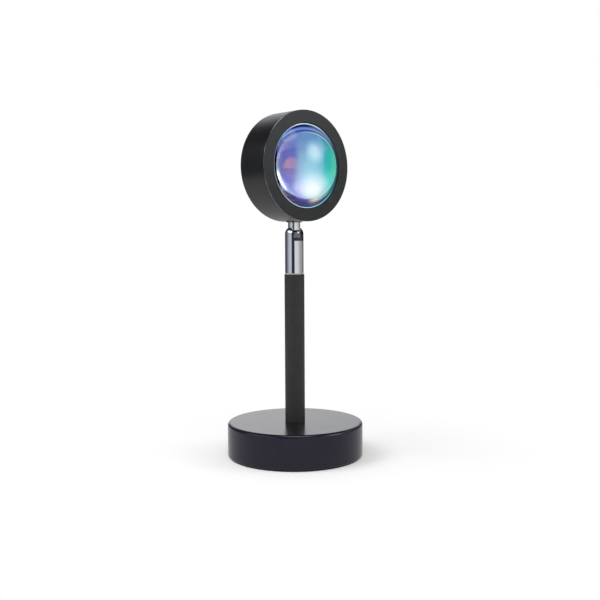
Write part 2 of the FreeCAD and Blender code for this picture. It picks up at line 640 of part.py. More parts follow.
def socket_sleeve():
    """Chromed tube with a rounded, slotted top that holds the ball; it turns on the spigot."""
    radius, bore, foot = SOCKET_RADIUS, BALL_BORE_RADIUS, SOCKET_FOOT_BREAK
    outer_rise, inner_rise = rise(radius, MOUTH_RADIUS), rise(bore, MOUTH_RADIUS)
    pivot = (0.0, PIVOT_Z)
    outer_middle = arc_point(pivot, radius, math.degrees(math.acos(MOUTH_RADIUS / radius)) / 2)
    inner_middle = arc_point(pivot, bore, math.degrees(math.acos(MOUTH_RADIUS / bore)) / 2)
    sleeve = lathe((SPIGOT_RADIUS + RUN_CLEAR, SOCKET_BOTTOM_Z), (radius - foot, SOCKET_BOTTOM_Z),
                   (radius, SOCKET_BOTTOM_Z + foot), (radius, PIVOT_Z),
                   (outer_middle, (MOUTH_RADIUS, PIVOT_Z + outer_rise)), (MOUTH_RADIUS, PIVOT_Z + inner_rise),
                   (inner_middle, (bore, PIVOT_Z)),
                   (bore, SOCKET_SHOULDER_Z), (SPIGOT_RADIUS + RUN_CLEAR, SOCKET_SHOULDER_Z))
    sleeve = sleeve.cut(slot_cutter(MOUTH_RADIUS))
    screw_start = V(0, SPIGOT_RADIUS - PAST, GROOVE_Z)
    screw_hole = Part.makeCylinder(SET_SCREW_RADIUS, SOCKET_RADIUS, screw_start, V(0, 1, 0))
    return sleeve.cut(screw_hole)


def socket_set_screw():
    """Dog-point screw in the back of the sleeve: its tip runs in the spigot's groove and meets the stop lug."""
    tip, shoulder, end = GROOVE_RADIUS + RUN_CLEAR, SPIGOT_RADIUS + RUN_CLEAR, SOCKET_RADIUS - SET_SCREW_INSET
    body = lathe((0, tip), (SET_SCREW_DOG_RADIUS, tip), (SET_SCREW_DOG_RADIUS, shoulder),
                 (SET_SCREW_RADIUS, shoulder), (SET_SCREW_RADIUS, end), (0, end))
    body = body.cut(hexagon(SET_SCREW_HEX, end - SET_SCREW_HEX_DEPTH, end + PAST))
    body.rotate(V(0, 0, 0), V(1, 0, 0), -90)
    body.translate(V(0, 0, GROOVE_Z))
    return body


def spring_plug():
    """Brass ring at the bottom of the ball's bore, which the spring washers press on."""
    radius = BALL_BORE_RADIUS - SLIDE_CLEAR
    return ring(radius, SPIGOT_BORE_RADIUS, SOCKET_SHOULDER_Z, SOCKET_SHOULDER_Z + PLUG_THICKNESS)


def seat_heights():
    """Bottom and top of the ball seat."""
    top = SLOT_BOTTOM_Z + SEAT_TOP_ABOVE_SLOT
    return top - SEAT_HEIGHT, top


def spring_washers():
    """Conical spring washers, stacked turn and turn about, that press the seat on the ball."""
    low = SOCKET_SHOULDER_Z + PLUG_THICKNESS
    pitch = (seat_heights()[0] - low) / SPRING_COUNT
    inner, outer = SPIGOT_BORE_RADIUS + SPRING_CLEAR, BALL_BORE_RADIUS - SPRING_CLEAR
    washers = []
    for n in range(SPRING_COUNT):
        bottom = low + n * pitch
        high = bottom + pitch - SPRING_THICKNESS
        first, last = (bottom, high) if n % 2 == 0 else (high, bottom)
        washers.append(lathe((inner, first), (outer, last), (outer, last + SPRING_THICKNESS),
                             (inner, first + SPRING_THICKNESS)))
    return washers


def ball_seat():
    """Nylon cup below the ball, slotted like the sleeve so that the stem can lie in it."""
    low, top = seat_heights()
    bowl = BALL_RADIUS + SLIDE_CLEAR
    outer = BALL_BORE_RADIUS - SLIDE_CLEAR
    bore_z = PIVOT_Z - rise(bowl, SPIGOT_BORE_RADIUS)
    rim_radius = rise(bowl, PIVOT_Z - top)
    middle = math.degrees(math.atan2((bore_z + top) / 2 - PIVOT_Z, (SPIGOT_BORE_RADIUS + rim_radius) / 2))
    seat = lathe((SPIGOT_BORE_RADIUS, low), (outer, low), (outer, top), (rim_radius, top),
                 (arc_point((0, PIVOT_Z), bowl, middle), (SPIGOT_BORE_RADIUS, bore_z)))
    return seat.cut(slot_cutter(BALL_BORE_RADIUS + PAST))


# ---- head: what joins it to the socket ----
def ball_stem():
    """Chromed brass ball and neck in one piece, bored for the wires, with a threaded stud on top."""
    ball = Part.makeSphere(BALL_RADIUS, V(0, 0, PIVOT_Z))
    neck = cylinder(STEM_RADIUS, PIVOT_Z, COLLAR_BOTTOM_Z)
    stud = cylinder(STUD_RADIUS, COLLAR_BOTTOM_Z - SUNK, STUD_TOP_Z)
    solid = ball.fuse([neck, stud])
    bore = cylinder(STEM_BORE_RADIUS, PIVOT_Z - BALL_RADIUS - PAST, STUD_TOP_Z + PAST)
    low = PIVOT_Z - BALL_RADIUS - STEM_FLARE_START
    flare = Part.makeCone(STEM_BORE_RADIUS + STEM_FLARE, STEM_BORE_RADIUS, 2 * STEM_FLARE, V(0, 0, low), UP)
    return solid.cut(bore).cut(flare).removeSplitter()


def stem_collar():
    """Flat washer between the neck and the head."""
    return ring(COLLAR_RADIUS, STUD_HOLE_RADIUS, COLLAR_BOTTOM_Z, SPOT_FACE_Z)


def stem_saddle():
    """Spacer inside the head, flat on top and curved below to fit the drum."""
    upright = ring(SADDLE_RADIUS, STUD_HOLE_RADIUS, HEAD_BOTTOM_Z, SADDLE_TOP_Z)
    drum = on_head(cylinder(HEAD_BORE_RADIUS, 0, HEAD_DEPTH))
    return upright.common(drum)


def stem_nut():
    """Hexagon nut that holds the head on the stud."""
    return nut(STEM_NUT_ACROSS_FLATS, STUD_RADIUS, SADDLE_TOP_Z, SADDLE_TOP_Z + STEM_NUT_THICKNESS)


# ---- head: casing, in the head's own frame ----
def head_shell():
    """Deep aluminium drum with a closed back and a rounded back edge, drilled below for the stud."""
    radius, edge = HEAD_RADIUS, HEAD_BACK_RADIUS
    drum = lathe((0, 0), (radius - edge, 0), (arc_point((radius - edge, edge), edge, -45), (radius, edge)),
                 (radius, SEAM), (HEAD_BORE_RADIUS, SEAM), (HEAD_BORE_RADIUS, HEAD_BACK_WALL),
                 (0, HEAD_BACK_WALL))
    blind = cylinder(SINK_SCREW_RADIUS, SINK_SCREW_FLOOR, HEAD_BACK_WALL + PAST, SINK_SCREW_CIRCLE)
    for hole in around(blind, SINK_SCREW_COUNT, SINK_SCREW_START_ANGLE):
        drum = drum.cut(hole)
    shell = on_head(drum)
    shell = shell.cut(cylinder(STUD_HOLE_RADIUS, HEAD_BOTTOM_Z - PAST, HEAD_BOTTOM_Z + HEAD_WALL + PAST))
    return shell.cut(cylinder(COLLAR_RADIUS + SEAT_CLEAR, HEAD_BOTTOM_Z - PAST, SPOT_FACE_Z))


def front_ring():
    """Ring that screws into the drum and holds the lens behind its lip."""
    radius, broken, bevel = HEAD_RADIUS, RING_EDGE_BREAK, RING_LIP_BEVEL
    skirt, skirt_back = HEAD_BORE_RADIUS - RUN_CLEAR, SEAM - SKIRT_LENGTH
    turned = lathe((OPENING_RADIUS, LENS_FRONT), (OPENING_RADIUS, HEAD_DEPTH - bevel),
                   (OPENING_RADIUS + bevel, HEAD_DEPTH), (radius - broken, HEAD_DEPTH),
                   (radius, HEAD_DEPTH - broken), (radius, SEAM), (skirt, SEAM), (skirt, skirt_back),
                   (SKIRT_BORE_RADIUS, skirt_back), (SKIRT_BORE_RADIUS, LENS_FRONT))
    return on_head(turned)


def dome_outline(base_radius, base, height):
    """Middle and end of the arc of a spherical dome, from its rim to its top."""
    sphere = (base_radius ** 2 + height ** 2) / (2 * height)
    centre = (0.0, base + height - sphere)
    rim = math.degrees(math.atan2(base - centre[1], base_radius))
    return arc_point(centre, sphere, (rim + 90) / 2), (0.0, base + height)


def lens():
    """Thick plano-convex glass lens whose rim sits behind the ring's lip."""
    dome_radius = OPENING_RADIUS - SEAT_CLEAR
    turned = lathe((0, LENS_BACK), (LENS_RADIUS, LENS_BACK), (LENS_RADIUS, LENS_FRONT), (dome_radius, LENS_FRONT),
                   dome_outline(dome_radius, LENS_FRONT, LENS_DOME_HEIGHT))
    return on_head(turned)


def lens_gasket():
    """Silicone ring between the lens and the colour filter."""
    return on_head(ring(FILTER_RADIUS, FILTER_RADIUS - GASKET_WIDTH, FILTER_FRONT, LENS_BACK))


def colour_filter():
    """Coated glass disc that gives the beam its colours."""
    return on_head(cylinder(FILTER_RADIUS, FILTER_BACK, FILTER_FRONT))


def reflector_cup():
    """Metallised cone from heat sink to filter; its flange presses the filter and lens on the ring's lip."""
    mouth, throat, wall = REFLECTOR_MOUTH_RADIUS, REFLECTOR_THROAT_RADIUS, REFLECTOR_WALL
    turned = lathe((throat, SINK_BOSS_FRONT), (throat, LED_BOARD_FRONT), (mouth, REFLECTOR_FRONT),
                   (FILTER_RADIUS, REFLECTOR_FRONT), (FILTER_RADIUS, REFLECTOR_FLANGE_BACK),
                   (mouth + wall, REFLECTOR_FLANGE_BACK), (throat + wall, LED_BOARD_FRONT),
                   (throat + wall, SINK_BOSS_FRONT))
    side = WIRE_SPACING / 2 + WIRE_NOTCH_SIDE
    notch = box((-side, -throat - wall - PAST, SINK_BOSS_FRONT - PAST), (side, -throat + PAST, LED_BOARD_FRONT))
    return on_head(turned.cut(notch))


# ---- head: light engine, in the head's own frame ----
def heat_sink():
    """Aluminium plate on the drum's back wall, with a boss for the light source and short fins round it."""
    sink = cylinder(SINK_RADIUS, HEAD_BACK_WALL, SINK_FRONT)
    sink = sink.fuse(cylinder(SINK_BOSS_RADIUS, SINK_FRONT - SUNK, SINK_BOSS_FRONT))
    fin_start = SINK_SCREW_CIRCLE + SINK_SCREW_HEAD_RADIUS + FIN_GAP
    fin = box((fin_start, -FIN_THICKNESS / 2, SINK_FRONT - SUNK),
              (SINK_RADIUS - FIN_INSET, FIN_THICKNESS / 2, SINK_FRONT + FIN_HEIGHT))
    for blade in around(fin, FIN_COUNT, 180.0 / FIN_COUNT):
        sink = sink.fuse(blade)
    through = cylinder(SINK_SCREW_RADIUS, HEAD_BACK_WALL - PAST, SINK_FRONT + PAST, SINK_SCREW_CIRCLE)
    for hole in around(through, SINK_SCREW_COUNT, SINK_SCREW_START_ANGLE):
        sink = sink.cut(hole)
    low, high = SINK_BOSS_FRONT - LED_SCREW_DEPTH, SINK_BOSS_FRONT + PAST
    tapped = cylinder(LED_SCREW_RADIUS, low, high, LED_SCREW_CIRCLE)
    for hole in around(tapped, LED_SCREW_COUNT):
        sink = sink.cut(hole)
    return on_head(sink.removeSplitter())


def sink_screws():
    """Pan-head screws through the heat sink into the drum's back wall."""
    top, reach = SINK_FRONT + SINK_SCREW_HEAD, SINK_SCREW_HEAD_RADIUS + PAST
    head = cylinder(SINK_SCREW_HEAD_RADIUS, SINK_FRONT, top, SINK_SCREW_CIRCLE)
    shank = cylinder(SINK_SCREW_RADIUS, SINK_SCREW_FLOOR, SINK_FRONT, SINK_SCREW_CIRCLE)
    slot = box((SINK_SCREW_CIRCLE - reach, -SCREW_SLOT_WIDTH / 2, top - SINK_SCREW_SLOT_DEPTH),
               (SINK_SCREW_CIRCLE + reach, SCREW_SLOT_WIDTH / 2, top + PAST))
    screw = head.fuse(shank).cut(slot)
    return [on_head(s) for s in around(screw, SINK_SCREW_COUNT, SINK_SCREW_START_ANGLE)]


def thermal_pad():
    """Soft heat-conducting pad below the light source's board."""
    pad = cylinder(LED_BOARD_RADIUS - THERMAL_PAD_INSET, SINK_BOSS_FRONT, LED_BOARD_BACK)
    hole = cylinder(LED_SCREW_RADIUS, SINK_BOSS_FRONT - PAST, LED_BOARD_BACK + PAST, LED_SCREW_CIRCLE)
    for cut in around(hole, LED_SCREW_COUNT):
        pad = pad.cut(cut)
    return on_head(pad)


def led_board():
    """Star-shaped aluminium board that carries the emitters."""
    board = cylinder(LED_BOARD_RADIUS, LED_BOARD_BACK, LED_BOARD_FRONT)
    low, high = LED_BOARD_BACK - PAST, LED_BOARD_FRONT + PAST
    notch = cylinder(LED_BOARD_NOTCH_RADIUS, low, high, LED_BOARD_RADIUS)
    for cut in around(notch, LED_BOARD_NOTCHES, LED_BOARD_NOTCH_START_ANGLE):
        board = board.cut(cut)
    hole = cylinder(LED_SCREW_RADIUS, low, high, LED_SCREW_CIRCLE)
    for cut in around(hole, LED_SCREW_COUNT):
        board = board.cut(cut)
    return on_head(board)


def led_screws():
    """Two small screws that hold the board to the heat sink."""
    head = cylinder(LED_SCREW_HEAD_RADIUS, LED_BOARD_FRONT, LED_BOARD_FRONT + LED_SCREW_HEAD, LED_SCREW_CIRCLE)
    shank = cylinder(LED_SCREW_RADIUS, SINK_BOSS_FRONT - LED_SCREW_DEPTH, LED_BOARD_FRONT, LED_SCREW_CIRCLE)
    return [on_head(s) for s in around(head.fuse(shank), LED_SCREW_COUNT)]


def led_emitters():
    """Four light-emitting chips in a square."""
    half, step = LED_SIZE / 2, LED_SPACING / 2
    chips = []
    for x, y in ((-step, -step), (step, -step), (-step, step), (step, step)):
        chips.append(on_head(box((x - half, y - half, LED_BOARD_FRONT),
                                 (x + half, y + half, LED_BOARD_FRONT + LED_HEIGHT))))
    return chips


def condenser_lens():
    """Small clear dome over the emitters, standing on three legs."""
    rim_top = CONDENSER_RIM_TOP
    dome = lathe((0, CONDENSER_BACK), (CONDENSER_RADIUS, CONDENSER_BACK), (CONDENSER_RADIUS, rim_top),
                 dome_outline(CONDENSER_RADIUS, rim_top, CONDENSER_DOME))
    width = CONDENSER_LEG_WIDTH
    leg = box((CONDENSER_RADIUS - width, -width / 2, LED_BOARD_FRONT),
              (CONDENSER_RADIUS - CONDENSER_LEG_INSET, width / 2, rim_top))
    for post in around(leg, CONDENSER_LEG_COUNT, CONDENSER_LEG_START_ANGLE):
        dome = dome.fuse(post)
    return on_head(dome)


# ---- wires ----
def pole_wires():
    """The two wires from the driver's connector, through the pipe and the pole, to the top of the spigot."""
    start, turn = connector_start(), connector_start() - LOOP_OUT
    level, below = BOARD_TOP_Z + CONNECTOR_WIRE_HEIGHT, NUT_BOTTOM_Z - NIPPLE_DOWN - LOOP_DOWN
    wires = []
    for y in (-WIRE_SPACING / 2, WIRE_SPACING / 2):
        points = [V(start, y, level), V(turn, y, level), V(turn, y, below), V(0, y, below),
                  V(0, y, SPIGOT_TOP_Z + WIRE_END)]
        wires.append(wire_along(points, LOOP_BEND))
    return wires


def head_wires():
    """The two wires from the light source's board, behind the reflector and down the bored stem."""
    start = HEAD_CENTRE_Z - LED_BOARD_RADIUS - HEAD_WIRE_GAP
    board_y = STEM_FROM_BACK - (LED_BOARD_BACK + LED_BOARD_FRONT) / 2
    wires = []
    for x in (-WIRE_SPACING / 2, WIRE_SPACING / 2):
        points = [V(x, board_y, start), V(x, board_y, start - HEAD_WIRE_OUT),
                  V(x, 0, STUD_TOP_Z + HEAD_WIRE_TURN), V(x, 0, PIVOT_Z)]
        wires.append(wire_along(points, HEAD_WIRE_BEND))
    return wires


NODES = (
    base_cover, base_plate, foot_pad, base_plate_screws, counterweight, cable_grommet,
    driver_board, board_standoffs, board_screws, driver_inductor, driver_chip, driver_capacitors, wire_connector,
    lock_washer, pole_nut, pole_nipple, pole_bush, pole_tube, pole_wires, swivel_spigot, swivel_washer,
    socket_sleeve, socket_set_screw, spring_plug, spring_washers, ball_seat,
    ball_stem, stem_collar, stem_saddle, stem_nut,
    head_shell, front_ring, lens, lens_gasket, colour_filter, reflector_cup,
    heat_sink, sink_screws, thermal_pad, led_board, led_screws, led_emitters, condenser_lens, head_wires,
)


def main():
    """Writes each node, named like its function, to its own file and prints its size."""
    os.makedirs("parts", exist_ok=True)
    for make in NODES:
        made = make()
        node = make.__name__
        shape = Part.makeCompound(made) if isinstance(made, list) else made
        shape.exportStep(os.path.join("parts", node + ".step"))
        low, high = shape.BoundBox.ZMin, shape.BoundBox.ZMax
        print(f"{node:20s} solids {len(shape.Solids)}  valid {shape.isValid()}  volume {shape.Volume:10.1f}"
              f"  z {low:7.2f} to {high:7.2f}")


main()
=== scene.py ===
"""Looks of a sunset projection lamp, laid out as an add-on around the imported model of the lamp.

Everything is in metres, +Z up, with the lens looking along -Y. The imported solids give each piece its
place and its outer size.
"""
import json
import math

import bmesh
import bpy
from mathutils import Matrix, Vector


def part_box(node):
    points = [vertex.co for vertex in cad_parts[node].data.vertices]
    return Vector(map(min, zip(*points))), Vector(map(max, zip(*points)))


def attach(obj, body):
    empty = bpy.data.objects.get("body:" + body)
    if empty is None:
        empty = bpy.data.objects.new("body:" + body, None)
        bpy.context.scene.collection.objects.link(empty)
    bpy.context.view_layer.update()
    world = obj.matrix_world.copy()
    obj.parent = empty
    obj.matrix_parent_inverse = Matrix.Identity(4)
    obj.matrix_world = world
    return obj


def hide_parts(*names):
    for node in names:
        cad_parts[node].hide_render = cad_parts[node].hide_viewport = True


bl_info = {
    "name": "Sunset Projection Lamp",
    "version": (1, 0, 0),
    "blender": (4, 5, 0),
    "location": "View3D > Sidebar > Lamp",
    "description": "Builds the visible pieces, finishes and stage of a sunset projection lamp",
    "category": "Object",
}

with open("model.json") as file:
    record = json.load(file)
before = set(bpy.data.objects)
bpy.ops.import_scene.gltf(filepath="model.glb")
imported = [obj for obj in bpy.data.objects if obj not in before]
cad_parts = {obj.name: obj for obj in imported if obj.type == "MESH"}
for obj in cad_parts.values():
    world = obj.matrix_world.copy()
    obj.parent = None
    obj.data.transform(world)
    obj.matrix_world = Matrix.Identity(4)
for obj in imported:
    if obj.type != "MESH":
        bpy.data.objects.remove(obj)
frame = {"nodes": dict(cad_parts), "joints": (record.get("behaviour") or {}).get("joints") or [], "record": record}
NODES = frame["nodes"]
SLOT_OF = {part["node"]: part["material_slot"] for part in frame["record"]["subparts"]}
BODY_OF = {node: body for body, group in frame["record"]["behaviour"]["bodies"].items() for node in group}
JOINT_AT = {joint["name"]: joint["pos_m"] for joint in frame["joints"]}
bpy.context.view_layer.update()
MM = 0.001
TURN_STEPS = 160
SMOOTH_BELOW = math.radians(32)
BREAK_ABOVE = math.radians(40)

HEAD_LOW, HEAD_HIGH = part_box("head_shell")
HEAD_CENTRE_Z = (HEAD_LOW.z + HEAD_HIGH.z) / 2
PIVOT_Z = JOINT_AT["head_tilt"][2]

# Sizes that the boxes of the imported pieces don't give
PIPE_HOLE_RADIUS = 5.0 * MM
TOP_WITHIN = 0.1 * MM  # how near the cover's top a face lies that takes the top's paint
LEVEL = 0.999  # upward part of a level face's normal
INLET_HOLE_RADIUS = 3.5 * MM
COVER_FOOT_EDGE = 0.2 * MM
POLE_WALL = 1.5 * MM
SLEEVE_WALL = 1.25 * MM
SLEEVE_FOOT_BORE = 4.6 * MM
SLEEVE_FOOT_EDGE = 0.25 * MM
SLEEVE_SHOULDER_DROP = 14.8 * MM  # from the ball's centre down to the shoulder in the sleeve's bore
SLOT_CORNER = 0.8 * MM
SCREW_HOLE_RADIUS = 1.5 * MM
SCREW_HOLE_START = 3.0 * MM  # from the sleeve's axis, well inside its bore
STUD_RADIUS = 4.0 * MM
STEM_BORE_RADIUS = 2.3 * MM
STEM_FLARE_DROP = 2.95 * MM  # from the ball's centre down to where the bore starts to flare
NECK_STEP = 0.95 * MM  # how much slimmer the neck is than the ball
NECK_GAP = 0.02 * MM  # keeps the neck's top face off the collar
DRUM_BACK_WALL = 3.0 * MM
DRUM_FLOOR_EDGE = 0.5 * MM
COLLAR_SEAT_RADIUS = 5.85 * MM
STUD_HOLE_RADIUS = 4.05 * MM
CUT_PAST = 2.0 * MM  # how far a cut runs past the face that it starts from
SEAM_EDGE = 0.12 * MM  # rounding on both sides of the seam between drum and ring
RING_LIP = 1.5 * MM
RING_LIP_BEVEL = 0.7 * MM
RING_OPENING_RADIUS = 29.7 * MM
RING_SKIRT_STEP = 2.1 * MM  # how much slimmer the skirt is than the ring
LENS_SIDE_GAP = 0.15 * MM  # between the lens and the ring's skirt
LENS_DOME_RADIUS = 29.55 * MM  # at the dome's foot
LENS_EDGE = 0.3 * MM
BEAD_INSET = 0.05 * MM  # from the dome's foot, towards the axis
BEAD_BACK = 0.3 * MM  # in front of the lens's rim
BEAD_CENTRE = 0.55 * MM  # in front of the lens's rim

# How paint and metal wear, and the slope of the metal strip that gives the ring's edge a highlight line
NOISE_RANGE = (0.3, 0.7)  # where most values of the noise lie
WORN_EDGE = (0.52, 0.6)  # pointiness at which an edge starts to be worn and is worn fully
WORN_PATCH = (0.42, 0.62)  # noise that leaves some stretches of an edge unworn
WORN_LIGHTER = 6.0
HIGHLIGHT_STRIP_SLOPE = (0.3, 0.85)  # how far the faces of the ring's highlight strip look forward
BLACK = (0.0, 0.0, 0.0, 1.0)

# The stage
CAMERA_PITCH, CAMERA_YAW, CAMERA_ROLL = 0.076, 0.0061, -0.005  # radians
SENSOR_WIDTH = 36.0  # millimetres
FLOOR_RADIUS = 1.0
FLOOR_COLOUR = (0.9, 0.9, 0.9, 1.0)
FLOOR_LIFT = 0.2  # light of its own that the camera sees near the lamp
FLOOR_FADE = (0.07, 0.2)  # from the axis: where the shadow starts to fade into white, and ends
FLOOR_IN_GLOSS = 0.70  # how bright the floor looks in metal, paint and glass
LIGHT_TARGET = (0.0, 0.0, 0.15)
LIGHTS = (  # name, place, width, and the setting that holds its power
    ("key_light", (-0.85, 0.3, 1.15), 0.8, "key_power"),
    ("fill_light", (0.69, -0.82, 0.76), 0.5, "fill_power"),
    ("front_light", (-0.58, -0.72, 0.95), 0.45, "front_power"))
LENS_PATCH = (74, 26, 0.12, 0.46)  # bright patch in the lens: bearing, elevation, core and reach
TOP_PATCH = (8, 72, 0.26, 0.42)  # and the one overhead, on rims and round edges
HEIGHT_BLUR = 0.08
ROOM_TOP = (0.42, 0.62)  # height at which the room of metal and glass turns dark


# ---------------------------------------------------------------- settings
class LampShape(bpy.types.PropertyGroup):
    """Edge roundings and walls of the pieces that are drawn again."""
    base_edge: bpy.props.FloatProperty(
        name="Base edge", description="Rounding of the base cover's top edge", default=2.2 * MM, min=0.2 * MM,
        unit="LENGTH", subtype="DISTANCE")
    base_wall: bpy.props.FloatProperty(
        name="Base wall", description="Thickness of the drawn steel cover", default=1.2 * MM, min=0.4 * MM,
        unit="LENGTH", subtype="DISTANCE")
    pad_edge: bpy.props.FloatProperty(
        name="Pad edge", description="Rounding of the foot pad's edges", default=0.35 * MM, min=0.05 * MM,
        unit="LENGTH", subtype="DISTANCE")
    drum_edge: bpy.props.FloatProperty(
        name="Drum back edge", description="Rounding of the drum's back edge", default=2.5 * MM, min=0.2 * MM,
        unit="LENGTH", subtype="DISTANCE")
    drum_wall: bpy.props.FloatProperty(
        name="Drum wall", description="Thickness of the drum's round wall", default=2.0 * MM, min=0.5 * MM,
        unit="LENGTH", subtype="DISTANCE")
    ring_edge: bpy.props.FloatProperty(
        name="Ring edge", description="Rounding of the front ring's outer edge", default=0.45 * MM,
        min=0.05 * MM, unit="LENGTH", subtype="DISTANCE")
    edge_break: bpy.props.FloatProperty(
        name="Edge break", description="Tiny rounding on turned and plated edges", default=0.15 * MM,
        min=0.02 * MM, unit="LENGTH", subtype="DISTANCE")


class LampFinish(bpy.types.PropertyGroup):
    """Colours and gloss of the surfaces that show."""
    paint: bpy.props.FloatVectorProperty(
        name="Head paint", description="Colour of the black paint on the head",
        default=(0.007, 0.007, 0.0078), min=0.0, max=1.0, subtype="COLOR")
    paint_roughness: bpy.props.FloatProperty(
        name="Head paint roughness", description="Roughness of the paint on the head", default=0.32, min=0.0,
        max=1.0, subtype="FACTOR")
    pole_paint: bpy.props.FloatVectorProperty(
        name="Pole paint", description="Colour of the pole's duller paint", default=(0.034, 0.0335, 0.0355),
        min=0.0, max=1.0, subtype="COLOR")
    base_paint: bpy.props.FloatVectorProperty(
        name="Base paint", description="Colour of the base's paint, black with a violet cast",
        default=(0.0105, 0.0088, 0.021), min=0.0, max=1.0, subtype="COLOR")
    base_roughness: bpy.props.FloatProperty(
        name="Base paint roughness", description="Roughness of the base's smoother paint", default=0.17,
        min=0.0, max=1.0, subtype="FACTOR")
    top_paint: bpy.props.FloatVectorProperty(
        name="Base top paint", description="Colour of the base's top face", default=(0.009, 0.009, 0.010),
        min=0.0, max=1.0, subtype="COLOR")
    top_roughness: bpy.props.FloatProperty(
        name="Base top roughness", description="Roughness of the base's top face", default=0.22, min=0.0,
        max=1.0, subtype="FACTOR")
    chrome: bpy.props.FloatVectorProperty(
        name="Chrome", description="Colour of the plated knuckle", default=(0.84, 0.84, 0.86),
        min=0.0, max=1.0, subtype="COLOR")
    chrome_roughness: bpy.props.FloatProperty(
        name="Chrome roughness", description="Roughness of the plated knuckle", default=0.07, min=0.0,
        max=1.0, subtype="FACTOR")
    nickel: bpy.props.FloatVectorProperty(
        name="Nickel", description="Colour of the neck above the ball", default=(0.97, 0.95, 0.88),
        min=0.0, max=1.0, subtype="COLOR")
    glass: bpy.props.FloatVectorProperty(
        name="Glass", description="Tint of the lens", default=(0.97, 0.99, 1.0), min=0.0, max=1.0,
        subtype="COLOR")
    # Painted light: how strongly the filter glows with light of its own, which no lamp gives.
    filter_glow: bpy.props.FloatProperty(
        name="Filter glow", description="How strongly the coated filter shows its colours", default=0.85,
        min=0.0, max=1.0, subtype="FACTOR")


class LampStage(bpy.types.PropertyGroup):
    """Camera and light of the stage."""
    camera_distance: bpy.props.FloatProperty(
        name="Camera distance", description="From the pole's axis to the camera, level", default=0.653,
        min=0.1, unit="LENGTH", subtype="DISTANCE")
    camera_height: bpy.props.FloatProperty(
        name="Camera height", description="Height of the camera over the floor", default=0.1643, min=0.0,
        unit="LENGTH", subtype="DISTANCE")
    camera_azimuth: bpy.props.FloatProperty(
        name="Camera azimuth", description="Turn of the camera round the pole, from the lens's own axis",
        default=math.radians(-39.97), unit="ROTATION", subtype="ANGLE")
    focal_length: bpy.props.FloatProperty(
        name="Focal length", description="Focal length of the camera, in millimetres", default=53.9, min=10.0)
    daylight: bpy.props.FloatProperty(
        name="Daylight", description="Brightness of the soft light from all round", default=0.5, min=0.0)
    key_power: bpy.props.FloatProperty(
        name="Key power", description="Power of the main soft box", default=7.0, min=0.0, unit="POWER")
    fill_power: bpy.props.FloatProperty(
        name="Fill power", description="Power of the soft box on the right", default=1.7, min=0.0,
        unit="POWER")
    front_power: bpy.props.FloatProperty(
        name="Front power", description="Power of the soft box over the camera", default=3.0, min=0.0,
        unit="POWER")


# ---------------------------------------------------------------- turned shapes
class Template:
    """A lathe's template: a chain of edges in the (radius, height) half plane, drawn point by point."""

    def __init__(self, radius, height):
        self.bm = bmesh.new()
        self.first = self.last = self.bm.verts.new((radius, 0, height))
        self.corners = []

    def to(self, radius, height, rounding=0.0, segments=5):
        """A straight line to the next point, whose corner may be rounded."""
        here = self.bm.verts.new((radius, 0, height))
        self.bm.edges.new((self.last, here))
        self.last = here
        if rounding:
            self.corners.append((here, rounding, segments))
        return self

    def arc(self, radius, height, degrees, steps):
        """An arc round a centre, counterclockwise with the radius to the right and the height up."""
        swept = bmesh.ops.spin(self.bm, geom=[self.last], cent=(radius, 0, height), axis=(0, -1, 0),
                               dvec=(0, 0, 0), angle=math.radians(degrees), steps=steps, use_merge=False,
                               use_duplicate=False)
        self.last = [v for v in swept["geom_last"] if isinstance(v, bmesh.types.BMVert)][0]
        return self

    def turn(self, facing_front=False, close=True, steps=TURN_STEPS):
        """Spins the template into a closed solid.

        Facing the front, its height runs along -Y and its axis passes through the head's centre.
        """
        bm = self.bm
        if close:
            bm.edges.new((self.last, self.first))
        for corner, rounding, segments in self.corners:
            bmesh.ops.bevel(bm, geom=[corner], offset=rounding, offset_type="OFFSET", segments=segments,
                            profile=0.5, affect="VERTICES", material=-1)
        bmesh.ops.spin(bm, geom=bm.verts[:] + bm.edges[:], cent=(0, 0, 0), axis=(0, 0, 1), dvec=(0, 0, 0),
                       angle=math.tau, steps=steps, use_merge=True, use_duplicate=False)
        bmesh.ops.remove_doubles(bm, verts=bm.verts, dist=1e-7)
        bmesh.ops.recalc_face_normals(bm, faces=bm.faces)
        if facing_front:
            forward = Matrix.Rotation(math.pi / 2, 3, "X")
            bmesh.ops.rotate(bm, verts=bm.verts, cent=(0, 0, 0), matrix=forward)
            bmesh.ops.translate(bm, verts=bm.verts, vec=(0, 0, HEAD_CENTRE_Z))
        return bm


def as_object(bm, name):
    """A bmesh as an object at the origin."""
    mesh = bpy.data.meshes.new(name)
    bm.to_mesh(mesh)
    bm.free()
    piece = bpy.data.objects.new(name, mesh)
    bpy.context.scene.collection.objects.link(piece)
    return piece


def cut(piece, cutters):
    """Cuts bmesh solids out of a piece for good."""
    tools = []
    for index, shape in enumerate(cutters):
        tool = as_object(shape, f"{piece.name}_cutter_{index}")
        tools.append(tool)
        step = piece.modifiers.new(f"cut_{index}", "BOOLEAN")
        step.operation = "DIFFERENCE"
        step.solver = "EXACT"
        step.object = tool
    cooked = piece.evaluated_get(bpy.context.evaluated_depsgraph_get())
    mesh = bpy.data.meshes.new_from_object(cooked)
    mesh.name = piece.name
    piece.modifiers.clear()
    piece.data = mesh
    for tool in tools:
        bpy.data.objects.remove(tool)


def shade(piece, edge=0.0):
    """Smooth faces with crisp corners, and a fine rounding on the edges that a cut left."""
    for face in piece.data.polygons:
        face.use_smooth = True
    piece.data.set_sharp_from_angle(angle=SMOOTH_BELOW)
    if edge:
        bevel = piece.modifiers.new("edge_break", "BEVEL")
        bevel.width = edge
        bevel.segments = 2
        bevel.limit_method = "ANGLE"
        bevel.angle_limit = BREAK_ABOVE
        bevel.harden_normals = True
    weighted = piece.modifiers.new("even_shading", "WEIGHTED_NORMAL")
    weighted.keep_sharp = True


